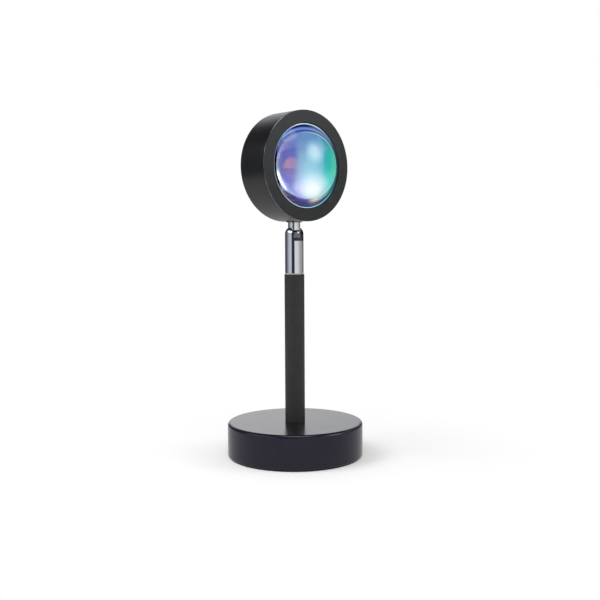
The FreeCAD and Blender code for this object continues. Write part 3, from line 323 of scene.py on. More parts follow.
def stands_for(piece, node, material=None):
    """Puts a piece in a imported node's place, on that node's body, in that node's finish."""
    piece.data.materials.clear()
    piece.data.materials.append(material or finish(SLOT_OF[node]))
    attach(piece, BODY_OF[node])
    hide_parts(node)


def dress(*nodes):
    """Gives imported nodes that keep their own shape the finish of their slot."""
    for node in nodes:
        slots = NODES[node].data.materials
        slots.clear()
        slots.append(finish(SLOT_OF[node]))


def post(radius, low, high, axis="Z", place=(0, 0, 0), steps=96):
    """An upright or lying cylinder as a bmesh, to cut with."""
    bm = bmesh.new()
    bmesh.ops.create_cone(bm, cap_ends=True, cap_tris=False, segments=steps, radius1=radius, radius2=radius,
                          depth=high - low)
    bmesh.ops.translate(bm, verts=bm.verts, vec=(0, 0, (low + high) / 2))
    if axis == "Y":
        backward = Matrix.Rotation(-math.pi / 2, 3, "X")
        bmesh.ops.rotate(bm, verts=bm.verts, cent=(0, 0, 0), matrix=backward)
    bmesh.ops.translate(bm, verts=bm.verts, vec=place)
    return bm


# ---------------------------------------------------------------- materials
class Graph:
    """A short hand for building a node tree."""

    def __init__(self, tree):
        self.tree = tree

    def node(self, kind, settings=None, **inputs):
        """A new node with its settings and inputs.

        An input is a number, a colour or another node's output; i0, i1 and so on name it by its place.
        """
        made = self.tree.nodes.new(kind)
        for key, value in (settings or {}).items():
            setattr(made, key, value)
        for key, value in inputs.items():
            socket = made.inputs[int(key[1:])] if key[0] == "i" and key[1:].isdigit() else made.inputs[key]
            self.feed(socket, value)
        return made

    def feed(self, socket, value):
        """Links an output to a socket, or sets the socket's own value."""
        if isinstance(value, bpy.types.NodeSocket):
            self.tree.links.new(value, socket)
        else:
            socket.default_value = value

    def ramp(self, value, low, high, to_low=0.0, to_high=1.0, smooth=True):
        """Maps a value from one range to another, held at the ends."""
        kind = "SMOOTHSTEP" if smooth else "LINEAR"
        made = self.node("ShaderNodeMapRange", {"interpolation_type": kind, "clamp": True}, Value=value)
        for key, number in (("From Min", low), ("From Max", high), ("To Min", to_low), ("To Max", to_high)):
            made.inputs[key].default_value = number
        return made.outputs["Result"]

    def window(self, value, low, high, blur):
        """1 between two values, fading to 0 outside them."""
        rise, fall = self.ramp(value, low - blur, low), self.ramp(value, high, high + blur, 1.0, 0.0)
        return self.math("MULTIPLY", rise, fall)

    def vary(self, noise, to_low=0.0, to_high=1.0):
        """Spreads noise over a range."""
        return self.ramp(noise, *NOISE_RANGE, to_low, to_high)

    def bands(self, value, stops, unit=MM):
        """Colours along a value; a stop is a place and a colour."""
        low, high = stops[0][0], stops[-1][0]
        made = self.node("ShaderNodeValToRGB", Fac=self.ramp(value, low * unit, high * unit, smooth=False))
        line = made.color_ramp
        line.interpolation = "EASE"
        line.elements[0].color = rgba(stops[0][1])
        line.elements[-1].color = rgba(stops[-1][1])
        for place, colour in stops[1:-1]:
            line.elements.new((place - low) / (high - low)).color = rgba(colour)
        return made.outputs["Color"]

    def spot(self, vector, centre, core, reach):
        """1 inside a round spot, fading to 0 at its reach."""
        away = self.node("ShaderNodeVectorMath", {"operation": "DISTANCE"}, i0=vector, i1=centre)
        return self.ramp(away.outputs["Value"], core, reach, 1.0, 0.0)

    def math(self, operation, first, second=0.0):
        """One sum on numbers."""
        return self.node("ShaderNodeMath", {"operation": operation}, i0=first, i1=second).outputs["Value"]

    def mix(self, factor, first, second):
        """Mixes two colours."""
        made = self.node("ShaderNodeMix", {"data_type": "RGBA"}, i0=factor, i6=first, i7=second)
        return made.outputs[2]

    def rays(self):
        """1 for rays from the camera, and 1 for rays that gloss or glass sends on before any matt bounce."""
        path = self.node("ShaderNodeLightPath").outputs
        sent_on = self.math("MAXIMUM", path["Is Glossy Ray"], path["Is Transmission Ray"])
        unscattered = self.math("LESS_THAN", path["Diffuse Depth"], 0.5)
        return path["Is Camera Ray"], self.math("MULTIPLY", sent_on, unscattered)


class Shader(Graph):
    """The node tree of one new material."""

    def __init__(self, name):
        self.material = bpy.data.materials.new(name)
        self.material.use_nodes = True
        super().__init__(self.material.node_tree)
        self.surface = self.tree.nodes["Principled BSDF"]
        self.coordinates = self.tree.nodes.new("ShaderNodeTexCoord").outputs["Object"]

    def set(self, **inputs):
        """Sets the surface's own sockets; an underscore in a name stands for a blank."""
        for key, value in inputs.items():
            self.feed(self.surface.inputs[key.replace("_", " ")], value)

    def moved(self, location=(0, 0, 0), scale=(1, 1, 1), turn=(0, 0, 0)):
        """Object coordinates, shifted, turned and stretched."""
        mapping = self.node("ShaderNodeMapping", {"vector_type": "POINT"}, Vector=self.coordinates)
        mapping.inputs["Location"].default_value = location
        mapping.inputs["Rotation"].default_value = turn
        mapping.inputs["Scale"].default_value = scale
        return mapping.outputs["Vector"]

    def across_and_up(self):
        """Places to the side of the head's centre and above it."""
        split = self.node("ShaderNodeSeparateXYZ", Vector=self.moved(location=(0, 0, -HEAD_CENTRE_Z)))
        return split.outputs["X"], split.outputs["Z"]

    def noise(self, scale, detail=3.0, vector=None):
        """Grey noise with so many lumps to the metre."""
        made = self.node("ShaderNodeTexNoise", Vector=vector or self.coordinates, Scale=scale, Detail=detail)
        return made.outputs["Fac"]

    def bump(self, height, depth, strength=1.0):
        """A normal that a height map of so many metres bends."""
        return self.node("ShaderNodeBump", Strength=strength, Distance=depth, Height=height).outputs["Normal"]


def rgba(colour):
    """A colour with its fourth number."""
    return (*tuple(colour)[:3], 1.0)


def shaded(colour, factor):
    """A lighter or darker copy of a colour."""
    return rgba([min(1.0, c * factor) for c in tuple(colour)[:3]])


def worked(name, colour, rough, spread=0.05, metal=0.0, mottle=180.0, drift=0.12, grain=3000.0,
           depth=0.01 * MM, stretch=(1, 1, 1), wear=0.0, **sockets):
    """A finish with mottled colour, uneven gloss, a fine grain and, where wanted, edges worn lighter."""
    s = Shader(name)
    broad = s.noise(mottle, detail=4.0)
    along = s.moved(scale=stretch)
    fine = s.noise(grain, detail=5.0, vector=along)
    tone = s.mix(s.vary(broad), shaded(colour, 1 - drift), shaded(colour, 1 + drift))
    gloss = s.vary(s.mix(0.5, broad, fine), rough - spread, rough + spread)
    if wear:
        edge = s.node("ShaderNodeNewGeometry").outputs["Pointiness"]
        rubbed = s.math("MULTIPLY", s.ramp(edge, *WORN_EDGE), s.ramp(broad, *WORN_PATCH, 0.0, wear))
        tone = s.mix(rubbed, tone, shaded(colour, WORN_LIGHTER))
    grained = s.bump(fine, depth, strength=0.5)
    s.set(Base_Color=tone, Roughness=gloss, Metallic=metal, Normal=grained, **sockets)
    return s.material


def satin_paint():
    """Satin black paint: a fine orange peel, faint mottling and edges rubbed a little lighter."""
    look = bpy.context.scene.lamp_finish
    return worked("satin_black_paint", look.paint, look.paint_roughness, spread=0.04, grain=1500.0,
                  depth=0.015 * MM, drift=0.15, wear=0.35)


def pole_paint():
    """The pole's duller black paint."""
    look = bpy.context.scene.lamp_finish
    return worked("pole_paint", look.pole_paint, rough=0.42, spread=0.04, grain=1500.0, depth=0.005 * MM,
                  drift=0.06, Specular_IOR_Level=0.22)


def base_paint():
    """Smoother black paint of the base's side, with a violet cast."""
    look = bpy.context.scene.lamp_finish
    return worked("base_paint", look.base_paint, look.base_roughness, spread=0.03, grain=1100.0,
                  depth=0.003 * MM, drift=0.08, mottle=120.0, Specular_IOR_Level=0.34)


def base_top_paint():
    """Shinier paint of the base's top, which goes pale at a low angle."""
    look = bpy.context.scene.lamp_finish
    return worked("base_top_paint", look.top_paint, look.top_roughness, spread=0.03, grain=1300.0,
                  depth=0.004 * MM, drift=0.15, mottle=60.0, Specular_IOR_Level=1.0, IOR=1.66)


def ball_painted_shade():
    """Darker plate of the ball: painted shade that stands for the shade inside the sleeve's slot."""
    return worked("dull_ball_plate", (0.20, 0.20, 0.205), rough=0.12, spread=0.04, metal=1.0, mottle=350.0,
                  drift=0.2, grain=1400.0, depth=0.003 * MM, stretch=(1, 1, 0.2))


def satin_nickel():
    """Satin nickel of the neck, with fine turning lines round it."""
    look = bpy.context.scene.lamp_finish
    return worked("satin_nickel", look.nickel, rough=0.2, spread=0.06, metal=1.0, mottle=500.0, grain=900.0,
                  stretch=(0.2, 0.2, 5.0))


def highlight_strip_metal():
    """Thin strip of darkened metal on the front ring's edge, set there so that the edge shows a bright highlight
    line.
    """
    return worked("bare_ring_edge", (0.26, 0.26, 0.27), rough=0.2, metal=1.0, mottle=250.0, drift=0.3)


def bead_glints_painted():
    """Bead round the lens that glows with painted highlights: pale blue above and white to cyan below, dark at
    both sides.
    """
    s = Shader("lens_edge_bead")
    across, up = s.across_and_up()
    rim_light_painted = s.bands(s.math("ARCTAN2", up, across), (
        (-180, (0.16, 0.20, 0.42)), (-158, (0.30, 0.34, 0.52)), (-140, (0.66, 0.70, 0.84)),
        (-112, (0.66, 0.84, 0.94)), (-80, (0.30, 0.75, 0.80)), (-48, (0.14, 0.50, 0.56)),
        (-28, (0.01, 0.09, 0.10)), (28, (0.01, 0.07, 0.10)), (48, (0.16, 0.36, 0.54)),
        (78, (0.72, 1.0, 1.2)), (104, (0.95, 1.1, 1.2)), (136, (0.26, 0.54, 0.86)),
        (158, (0.14, 0.22, 0.50)), (180, (0.16, 0.20, 0.42))), math.radians(1))
    patch = s.noise(scale=160.0, detail=2.0)
    # Painted light: the bead glows with these colours as light of its own.
    s.set(Base_Color=s.mix(0.7, rim_light_painted, BLACK), Roughness=s.vary(patch, 0.12, 0.3), Emission_Color=rim_light_painted,
          Emission_Strength=s.vary(patch, 0.75, 1.0), Normal=s.bump(patch, depth=0.02 * MM, strength=0.3))
    return s.material


def bright_chrome():
    """Chrome plate with fine polishing lines along the pole."""
    look = bpy.context.scene.lamp_finish
    return worked("chrome_plate", look.chrome, look.chrome_roughness, spread=0.025, metal=1.0, mottle=300.0,
                  drift=0.03, grain=2600.0, depth=0.002 * MM, stretch=(1, 1, 0.08))


def clear_glass(name="clear_glass", ior=1.5):
    """Polished clear glass with hardly visible polishing marks."""
    look = bpy.context.scene.lamp_finish
    s = Shader(name)
    fine = s.noise(scale=900.0, detail=2.0)
    s.set(Base_Color=s.mix(s.vary(fine), shaded(look.glass, 0.99), rgba(look.glass)),
          Roughness=s.vary(fine, 0.0, 0.015), Transmission_Weight=1.0, IOR=ior,
          Specular_Tint=(0.6, 0.6, 0.6, 1.0))
    return s.material


def disc_filter():
    """Coated filter glass that glows with painted light: a coloured middle inside a bright line, and a dark blue
    edge, with a rose spot, a pale glow and a small pale spot painted in as highlights.
    """
    glow = bpy.context.scene.lamp_finish.filter_glow
    s = Shader("coated_filter")
    across, up = s.across_and_up()
    level = s.node("ShaderNodeCombineXYZ", X=across, Z=up).outputs["Vector"]
    oval = s.moved(location=(-2.0 * MM, 0, -(HEAD_CENTRE_Z + 0.5 * MM)), scale=(0.88, 0, 1))
    radius = s.node("ShaderNodeVectorMath", {"operation": "LENGTH"}, Vector=oval).outputs["Value"]
    ripple = s.noise(scale=120.0)

    def fade(value, low, high, to_low=0.0, to_high=1.0):
        """A ramp between two places in millimetres."""
        return s.ramp(value, low * MM, high * MM, to_low, to_high)

    def spot(x, z, core, reach):
        """A round spot of so many millimetres on the filter."""
        return s.spot(level, (x * MM, 0.0, z * MM), core * MM, reach * MM)

    def both(*masks):
        """Where all masks meet."""
        met = masks[0]
        for mask in masks[1:]:
            met = s.math("MULTIPLY", met, mask)
        return met

    def painted(below, *layers):
        """A colour with others laid over it; a layer is a mask and a colour."""
        for mask, colour in layers:
            below = s.mix(mask, below, rgba(colour))
        return below

    wavy = s.math("ADD", across, s.vary(ripple, -0.7 * MM, 0.7 * MM))
    violet_to_green = s.bands(wavy, (
        (-24, (0.34, 0.34, 0.80)), (-18, (0.12, 0.10, 0.60)), (-12, (0.09, 0.07, 0.50)),
        (-7, (0.10, 0.11, 0.52)), (-1, (0.20, 0.38, 0.66)), (7, (0.20, 0.54, 0.72)),
        (13, (0.12, 0.50, 0.68)), (14.6, (0.0, 0.46, 0.48)), (18, (0.0, 0.53, 0.47)),
        (21, (0.03, 0.70, 0.47)), (26, (0.36, 0.85, 0.50))))
    dark_above = fade(up, 6, 18, 0.0, 0.6)
    blue_low_left = both(fade(up, -9, -3, 1.0, 0.0), fade(across, -15, -4, 0.8, 0.0))
    cyan_low_right = both(fade(up, -9, 1, 1.0, 0.0), fade(across, 4, 15), fade(radius, 14, 19, 0.8, 0.5))
    # Painted highlight: a rose spot left of the middle.
    rose_painted_highlight = both(spot(-6.9, -1.2, 4.8, 7.2), fade(up, -1.7, -1.2, 0.35, 1.0),
                     fade(across, -10, 1, 0.85, 0.1))
    glow_rim = both(fade(radius, 16.6, 19.0), fade(across, -8, 3, 1.0, 0.0), fade(up, -15, 8, 1.0, 0.15))
    body = painted(
        violet_to_green,
        (dark_above, (0.07, 0.17, 0.52)),
        (blue_low_left, (0.14, 0.18, 0.86)),
        (cyan_low_right, (0.18, 0.86, 0.84)),
        (rose_painted_highlight, (0.50, 0.24, 0.44)),
        (spot(-1.5, -15.0, 1.0, 9.0), (0.36, 0.40, 0.88)),
        # Painted highlight: a pale glow low on the right.
        (spot(8.0, -12.0, 1.0, 11.8), (0.96, 0.98, 1.0)),
        (s.math("MULTIPLY", spot(5.0, -2.0, 1.0, 14.0), 0.5), (0.44, 0.80, 0.95)),
        # Painted highlight: a small pale spot high on the right.
        (s.math("MULTIPLY", spot(8.6, 8.0, 0.5, 8.0), 0.55), (0.70, 0.92, 1.0)),
        (glow_rim, (0.40, 0.50, 0.92)))

    dark_edge = s.bands(radius, (
        (18, (0.05, 0.20, 0.30)), (19.6, (0.02, 0.08, 0.38)), (20.5, (0.02, 0.06, 0.34)),
        (21.5, (0.22, 0.36, 0.92)), (22.3, (0.16, 0.28, 0.80)), (23.2, (0.01, 0.04, 0.26)),
        (24, (0.0, 0.01, 0.08)), (25.6, (0.0, 0.04, 0.18)), (30, (0.05, 0.10, 0.30))))
    teal_right = both(fade(across, 7, 14, 0.0, 0.8), fade(up, 8, 14, 1.0, 0.0))
    blue_left = both(fade(across, -21, -17, 1.0, 0.0), s.window(up, -6 * MM, 10 * MM, 5 * MM))
    edge = painted(dark_edge, (teal_right, (0.02, 0.27, 0.30)), (blue_left, (0.20, 0.24, 0.62)))
    crescent = s.bands(across, (
        (-20, (0.01, 0.02, 0.06)), (-12, (0.03, 0.02, 0.10)), (-7, (0.06, 0.012, 0.13)),
        (-1, (0.06, 0.04, 0.25)), (3.5, (0.07, 0.06, 0.27)), (10, (0.84, 0.68, 0.56)),
        (13.5, (0.50, 0.56, 0.54)), (16, (0.22, 0.44, 0.52)), (19, (0.10, 0.50, 0.56)),
        (26, (0.01, 0.16, 0.20))))
    crescent = painted(crescent, (fade(radius, 20.5, 23, 0.0, 0.9), (0.03, 0.03, 0.18)))
    pale_upper_right = both(fade(up, 10, 16), fade(across, 4, 12, 0.0, 0.3))
    outside = painted(s.mix(fade(up, -15.5, -12.0, 1.0, 0.0), edge, crescent),
                      (pale_upper_right, (0.34, 0.36, 0.50)))
    bright_line = s.mix(fade(across, -2, 14), (0.22, 0.32, 0.74, 1.0), (0.42, 1.0, 0.74, 1.0))
    on_line = both(s.window(radius, 18.9 * MM, 19.4 * MM, 0.3 * MM), fade(across, -6, 4, 0.3, 1.0))
    outside = s.mix(on_line, outside, bright_line)

    colour = s.mix(fade(radius, 18.8, 19.2), body, outside)
    # Painted light: the filter glows with all its colours as light of its own.
    s.set(Base_Color=s.mix(0.8, colour, BLACK), Roughness=s.vary(ripple, 0.18, 0.26), Emission_Color=colour,
          Emission_Strength=glow, Specular_IOR_Level=0.1, Normal=s.bump(ripple, 0.01 * MM, strength=0.2))
    return s.material


def lit_chip():
    """Silicone over a light-emitting chip."""
    s = Shader("emitter_silicone")
    speck = s.noise(scale=2500.0, detail=2.0)
    s.set(Base_Color=s.mix(s.vary(speck), (0.80, 0.62, 0.16, 1.0), (0.95, 0.82, 0.35, 1.0)),
          Roughness=s.vary(speck, 0.25, 0.4), Normal=s.bump(speck, 0.02 * MM, strength=0.4))
    return s.material


WORKED = {
    "dark_steel": dict(colour=(0.22, 0.20, 0.17), rough=0.22, metal=1.0, grain=2500.0, stretch=(1, 1, 0.2)),
    "zinc_plate": dict(colour=(0.55, 0.55, 0.52), rough=0.32, metal=1.0, drift=0.2, mottle=400.0),
    "steel_screw": dict(colour=(0.52, 0.52, 0.53), rough=0.28, metal=1.0, grain=4000.0),
    "spring_steel": dict(colour=(0.30, 0.30, 0.33), rough=0.3, metal=1.0, grain=4000.0),
    "cast_iron": dict(colour=(0.10, 0.10, 0.11), rough=0.6, metal=0.7, grain=1200.0, depth=0.12 * MM,
                      drift=0.3),
    "pad_rubber": dict(colour=(0.014, 0.014, 0.015), rough=0.85, grain=2200.0, depth=0.06 * MM, drift=0.25),
    "black_rubber": dict(colour=(0.016, 0.016, 0.017), rough=0.6, grain=2600.0, depth=0.02 * MM),
    "silicone": dict(colour=(0.62, 0.62, 0.6), rough=0.45, grain=1500.0, Subsurface_Weight=0.2),
    "thermal_pad": dict(colour=(0.35, 0.40, 0.46), rough=0.7, grain=2000.0, depth=0.03 * MM),
    "circuit_board": dict(colour=(0.02, 0.12, 0.045), rough=0.35, grain=1800.0, stretch=(1, 0.15, 1),
                          drift=0.2),
    "white_board": dict(colour=(0.75, 0.75, 0.72), rough=0.4, grain=2500.0),
    "black_plastic": dict(colour=(0.02, 0.02, 0.02), rough=0.5, grain=3000.0, depth=0.02 * MM),
    "white_plastic": dict(colour=(0.78, 0.76, 0.70), rough=0.35, grain=2500.0),
    "ferrite": dict(colour=(0.06, 0.06, 0.065), rough=0.65, grain=3500.0, depth=0.04 * MM, drift=0.25),
    "capacitor_can": dict(colour=(0.66, 0.66, 0.68), rough=0.25, metal=1.0, stretch=(1, 1, 0.1)),
    "wire_jacket": dict(colour=(0.42, 0.03, 0.025), rough=0.38, grain=2200.0, stretch=(1, 1, 0.3)),
    "nylon": dict(colour=(0.74, 0.71, 0.62), rough=0.5, grain=2500.0, Subsurface_Weight=0.15),
    "brass": dict(colour=(0.72, 0.50, 0.20), rough=0.25, metal=1.0, stretch=(1, 1, 4.0)),
    "aluminium": dict(colour=(0.68, 0.68, 0.70), rough=0.35, metal=1.0, stretch=(1, 6.0, 1)),
    "bright_aluminium": dict(colour=(0.86, 0.86, 0.88), rough=0.12, metal=1.0, stretch=(1, 6.0, 1)),
}
SPECIAL = {"black_paint": satin_paint, "chrome": bright_chrome, "clear_glass": clear_glass,
           "clear_plastic": lambda: clear_glass("clear_plastic", 1.49), "filter_glass": disc_filter,
           "emitter": lit_chip}
MADE = {}


def finish(slot):
    """The material of a record's slot, made once."""
    if slot not in MADE:
        MADE[slot] = SPECIAL[slot]() if slot in SPECIAL else worked(slot, **WORKED[slot])
    return MADE[slot]


# ---------------------------------------------------------------- operators: base and pole
class LAMP_OT_base_cover(bpy.types.Operator):
    """Drawn steel cover of the base with its rounded top edge"""
    bl_idname = "lamp.base_cover"
    bl_label = "Base cover"

    def execute(self, context):
        shape = context.scene.lamp_shape
        low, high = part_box("base_cover")
        radius, wall, foot = high.x, shape.base_wall, COVER_FOOT_EDGE
        inside, ceiling = radius - wall, high.z - wall
        drawn = Template(radius, low.z + foot).to(radius, high.z, shape.base_edge, 8)
        drawn.to(PIPE_HOLE_RADIUS, high.z).to(PIPE_HOLE_RADIUS, ceiling)
        drawn.to(inside, ceiling, shape.base_edge - wall).to(inside, low.z, foot, 2).to(radius - foot, low.z)
        cover = as_object(drawn.turn(), "base_cover_drawn")
        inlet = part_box("cable_grommet")
        middle = (inlet[0].z + inlet[1].z) / 2
        cut(cover, [post(INLET_HOLE_RADIUS, radius / 2, radius * 1.5, "Y", (0, 0, middle))])
        shade(cover)
        stands_for(cover, "base_cover", base_paint())
        cover.data.materials.append(base_top_paint())
        for face in cover.data.polygons:
            face.material_index = int(face.normal.z > LEVEL and face.center.z > high.z - TOP_WITHIN)
        return {"FINISHED"}


class LAMP_OT_foot_pad(bpy.types.Operator):
    """Thin rubber pad that the base stands on"""
    bl_idname = "lamp.foot_pad"
    bl_label = "Foot pad"

    def execute(self, context):
        edge = context.scene.lamp_shape.pad_edge
        low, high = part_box("foot_pad")
        sheet = Template(0, low.z).to(high.x, low.z, edge, 4).to(high.x, high.z, edge, 4).to(0, high.z)
        pad = as_object(sheet.turn(close=False), "foot_pad_rubber")
        shade(pad)
        stands_for(pad, "foot_pad")
        return {"FINISHED"}


class LAMP_OT_base_inside(bpy.types.Operator):
    """Plate, counterweight, cable bush and driver board of the base"""
    bl_idname = "lamp.base_inside"
    bl_label = "Base inside"

    def execute(self, context):
        dress("base_plate", "base_plate_screws", "counterweight", "cable_grommet", "driver_board",
              "board_standoffs", "board_screws", "driver_inductor", "driver_chip", "driver_capacitors",
              "wire_connector")
        return {"FINISHED"}


class LAMP_OT_pole(bpy.types.Operator):
    """Painted steel pole, and the pipe, bush, nut, washer and wires that it hides"""
    bl_idname = "lamp.pole"
    bl_label = "Pole"

    def execute(self, context):
        edge = context.scene.lamp_shape.edge_break
        low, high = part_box("pole_tube")
        radius, bore = high.x, high.x - POLE_WALL
        tube = Template(bore, low.z).to(radius, low.z, edge, 3).to(radius, high.z, edge, 3).to(bore, high.z)
        pole = as_object(tube.turn(), "pole_painted")
        shade(pole)
        stands_for(pole, "pole_tube", pole_paint())
        dress("pole_nipple", "pole_bush", "pole_nut", "lock_washer", "pole_wires")
        return {"FINISHED"}


# ---------------------------------------------------------------- operators: knuckle
class LAMP_OT_socket(bpy.types.Operator):
    """Chromed sleeve with a round top, slotted in front for the stem"""
    bl_idname = "lamp.socket"
    bl_label = "Socket sleeve"

    def execute(self, context):
        edge = context.scene.lamp_shape.edge_break
        low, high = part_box("socket_sleeve")
        radius, bore, foot_bore = high.x, high.x - SLEEVE_WALL, SLEEVE_FOOT_BORE
        mouth = math.sqrt(radius ** 2 - (high.z - PIVOT_Z) ** 2)
        reach = math.degrees(math.acos(mouth / radius))
        inner_reach = math.degrees(math.acos(mouth / bore))
        shoulder = PIVOT_Z - SLEEVE_SHOULDER_DROP
        sleeve = Template(foot_bore, low.z).to(radius, low.z, SLEEVE_FOOT_EDGE, 3).to(radius, PIVOT_Z)
        sleeve.arc(0, PIVOT_Z, reach, 24).to(mouth, PIVOT_Z + math.sqrt(bore ** 2 - mouth ** 2))
        sleeve.arc(0, PIVOT_Z, -inner_reach, 20).to(bore, shoulder).to(foot_bore, shoulder)
        socket = as_object(sleeve.turn(), "socket_sleeve_plated")
        slot = bmesh.new()
        bmesh.ops.create_cube(slot, size=1.0)
        depth, tall, floor = 2 * radius, 3 * radius, PIVOT_Z - mouth
        bmesh.ops.scale(slot, verts=slot.verts, vec=(2 * mouth, depth, tall))
        bmesh.ops.translate(slot, verts=slot.verts, vec=(0, -depth / 2, floor + tall / 2))
        lower = [e for e in slot.edges if all(v.co.z < floor + edge for v in e.verts)
                 and abs(e.verts[0].co.x - e.verts[1].co.x) < edge]
        bmesh.ops.bevel(slot, geom=lower, offset=SLOT_CORNER, offset_type="OFFSET", segments=8, profile=0.5,
                        affect="EDGES", material=-1)
        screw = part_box("socket_set_screw")
        screw_z = (screw[0].z + screw[1].z) / 2
        screw_hole = post(SCREW_HOLE_RADIUS, SCREW_HOLE_START, 2 * radius, "Y", (0, 0, screw_z), 48)
        cut(socket, [slot, screw_hole])
        shade(socket, 2 * edge)
        stands_for(socket, "socket_sleeve")
        dress("socket_set_screw", "spring_plug", "spring_washers", "ball_seat", "swivel_spigot",
              "swivel_washer")
        return {"FINISHED"}


class LAMP_OT_ball(bpy.types.Operator):
    """Plated ball, darkened by painted shade, with its bored neck and its stud"""
    bl_idname = "lamp.ball"
    bl_label = "Ball and neck"

    def execute(self, context):
        edge = context.scene.lamp_shape.edge_break
        low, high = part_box("ball_stem")
        ball, neck, stud, bore = high.x, high.x - NECK_STEP, STUD_RADIUS, STEM_BORE_RADIUS
        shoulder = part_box("stem_collar")[0].z - NECK_GAP
        start = math.degrees(math.asin((low.z - PIVOT_Z) / ball))
        meet = math.degrees(math.acos(neck / ball))
        turned = Template(ball * math.cos(math.radians(start)), low.z)
        turned.arc(0, PIVOT_Z, meet - start, 40)
        turned.to(neck, shoulder, edge, 2).to(stud, shoulder).to(stud, high.z, 2 * edge, 2)
        turned.to(bore, high.z).to(bore, PIVOT_Z - STEM_FLARE_DROP)
        stem = as_object(turned.turn(), "ball_stem_plated")
        shade(stem)
        # Painted shade: the ball's plate is dark grey for the shade in the sleeve's slot.
        stands_for(stem, "ball_stem", ball_painted_shade())
        stem.data.materials.append(satin_nickel())
        neck_foot = PIVOT_Z + math.sqrt(ball ** 2 - neck ** 2)
        for face in stem.data.polygons:
            face.material_index = int(face.center.z > neck_foot)
        dress("stem_nut")
        return {"FINISHED"}


# ---------------------------------------------------------------- operators: head
class LAMP_OT_drum(bpy.types.Operator):
    """Black drum of the head, with its seat for the collar"""
    bl_idname = "lamp.drum"
    bl_label = "Drum"

    def execute(self, context):
        shape = context.scene.lamp_shape
        low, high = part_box("head_shell")
        radius, back, seam = high.x, -high.y, -low.y
        bore, floor = radius - shape.drum_wall, back + DRUM_BACK_WALL
        drum = Template(0, back).to(radius, back, shape.drum_edge, 8).to(radius, seam, SEAM_EDGE, 2)
        drum.to(bore, seam).to(bore, floor, DRUM_FLOOR_EDGE, 2).to(0, floor)
        case = as_object(drum.turn(facing_front=True, close=False), "head_drum")
        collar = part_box("stem_collar")
        below, seat = collar[0].z - CUT_PAST, collar[1].z
        cut(case, [post(COLLAR_SEAT_RADIUS, below, seat), post(STUD_HOLE_RADIUS, below, seat + 2 * CUT_PAST)])
        shade(case)
        stands_for(case, "head_shell")
        return {"FINISHED"}


class LAMP_OT_ring(bpy.types.Operator):
    """Front ring that holds the lens behind its bevelled lip"""
    bl_idname = "lamp.ring"
    bl_label = "Front ring"

    def execute(self, context):
        shape = context.scene.lamp_shape
        low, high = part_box("front_ring")
        radius, front, skirt_back = high.x, -low.y, -high.y
        seam, seat = -HEAD_LOW.y, front - RING_LIP
        opening, bevel = RING_OPENING_RADIUS, RING_LIP_BEVEL
        skirt_bore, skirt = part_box("lens")[1].x + LENS_SIDE_GAP, radius - RING_SKIRT_STEP
        turned = Template(opening, seat).to(opening, front - bevel).to(opening + bevel, front)
        turned.to(radius, front, shape.ring_edge, 5).to(radius, seam, SEAM_EDGE, 2).to(skirt, seam)
        turned.to(skirt, skirt_back).to(skirt_bore, skirt_back).to(skirt_bore, seat)
        ring = as_object(turned.turn(facing_front=True), "front_ring_turned")
        shade(ring)
        stands_for(ring, "front_ring")
        # The outer edge's forward-looking faces take the metal strip, which gives a bright highlight line along
        # the edge.
        ring.data.materials.append(highlight_strip_metal())
        for face in ring.data.polygons:
            from_axis = math.hypot(face.center.x, face.center.z - HEAD_CENTRE_Z)
            sloped = HIGHLIGHT_STRIP_SLOPE[0] < -face.normal.y < HIGHLIGHT_STRIP_SLOPE[1]
            face.material_index = int(from_axis > radius - shape.ring_edge and sloped)
        return {"FINISHED"}


class LAMP_OT_lens(bpy.types.Operator):
    """Thick glass lens, flat behind and domed in front, with a bead of painted highlights round its dome"""
    bl_idname = "lamp.lens"
    bl_label = "Lens"

    def execute(self, context):
        low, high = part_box("lens")
        rim, back, apex = high.x, -high.y, -low.y
        shoulder = -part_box("front_ring")[0].y - RING_LIP
        dome, height = LENS_DOME_RADIUS, apex - shoulder
        sphere = (dome ** 2 + height ** 2) / (2 * height)
        centre = apex - sphere
        sweep = 90 - math.degrees(math.atan2(shoulder - centre, dome))
        glass = Template(0, back).to(rim, back, LENS_EDGE, 3).to(rim, shoulder, LENS_EDGE, 3)
        glass.to(dome, shoulder).arc(0, centre, sweep, 56)
        lens = as_object(glass.turn(facing_front=True, close=False, steps=192), "lens_glass")
        shade(lens)
        stands_for(lens, "lens")
        bead = Template(dome - BEAD_INSET, shoulder + BEAD_BACK)
        bead.arc(dome - BEAD_INSET, shoulder + BEAD_CENTRE, 360, 12)
        trim = as_object(bead.turn(facing_front=True, close=False), "lens_edge_bead")
        shade(trim)
        trim.data.materials.append(bead_glints_painted())
        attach(trim, BODY_OF["lens"])
        dress("lens_gasket", "colour_filter")
        return {"FINISHED"}


class LAMP_OT_light_engine(bpy.types.Operator):
    """Reflector, heat sink, board, emitters, wires, collar and saddle of the head"""
    bl_idname = "lamp.light_engine"
    bl_label = "Light engine"

    def execute(self, context):
        dress("reflector_cup", "heat_sink", "sink_screws", "thermal_pad", "led_board", "led_screws",
              "led_emitters", "condenser_lens", "head_wires", "stem_collar", "stem_saddle")
        return {"FINISHED"}


# ---------------------------------------------------------------- operator: stage
def soft_box(name, place, target, width, power):
    """A square area light that points at a target. Gloss doesn't mirror it: the room's patches show there."""
    data = bpy.data.lights.new(name, "AREA")
    data.shape = "SQUARE"
    data.size = width
    data.energy = power
    lamp = bpy.data.objects.new(name, data)
    bpy.context.scene.collection.objects.link(lamp)
    lamp.location = place
    lamp.rotation_mode = "QUATERNION"
    lamp.rotation_quaternion = (Vector(target) - Vector(place)).to_track_quat("-Z", "Y")
    lamp.visible_glossy = lamp.visible_transmission = False


def toward(bearing, elevation):
    """A direction in the camera's frame, from degrees round from the camera's side and degrees up."""
    turn, rise = math.radians(bearing), math.radians(elevation)
    return (math.sin(turn) * math.cos(rise), -math.cos(turn) * math.cos(rise), math.sin(rise))


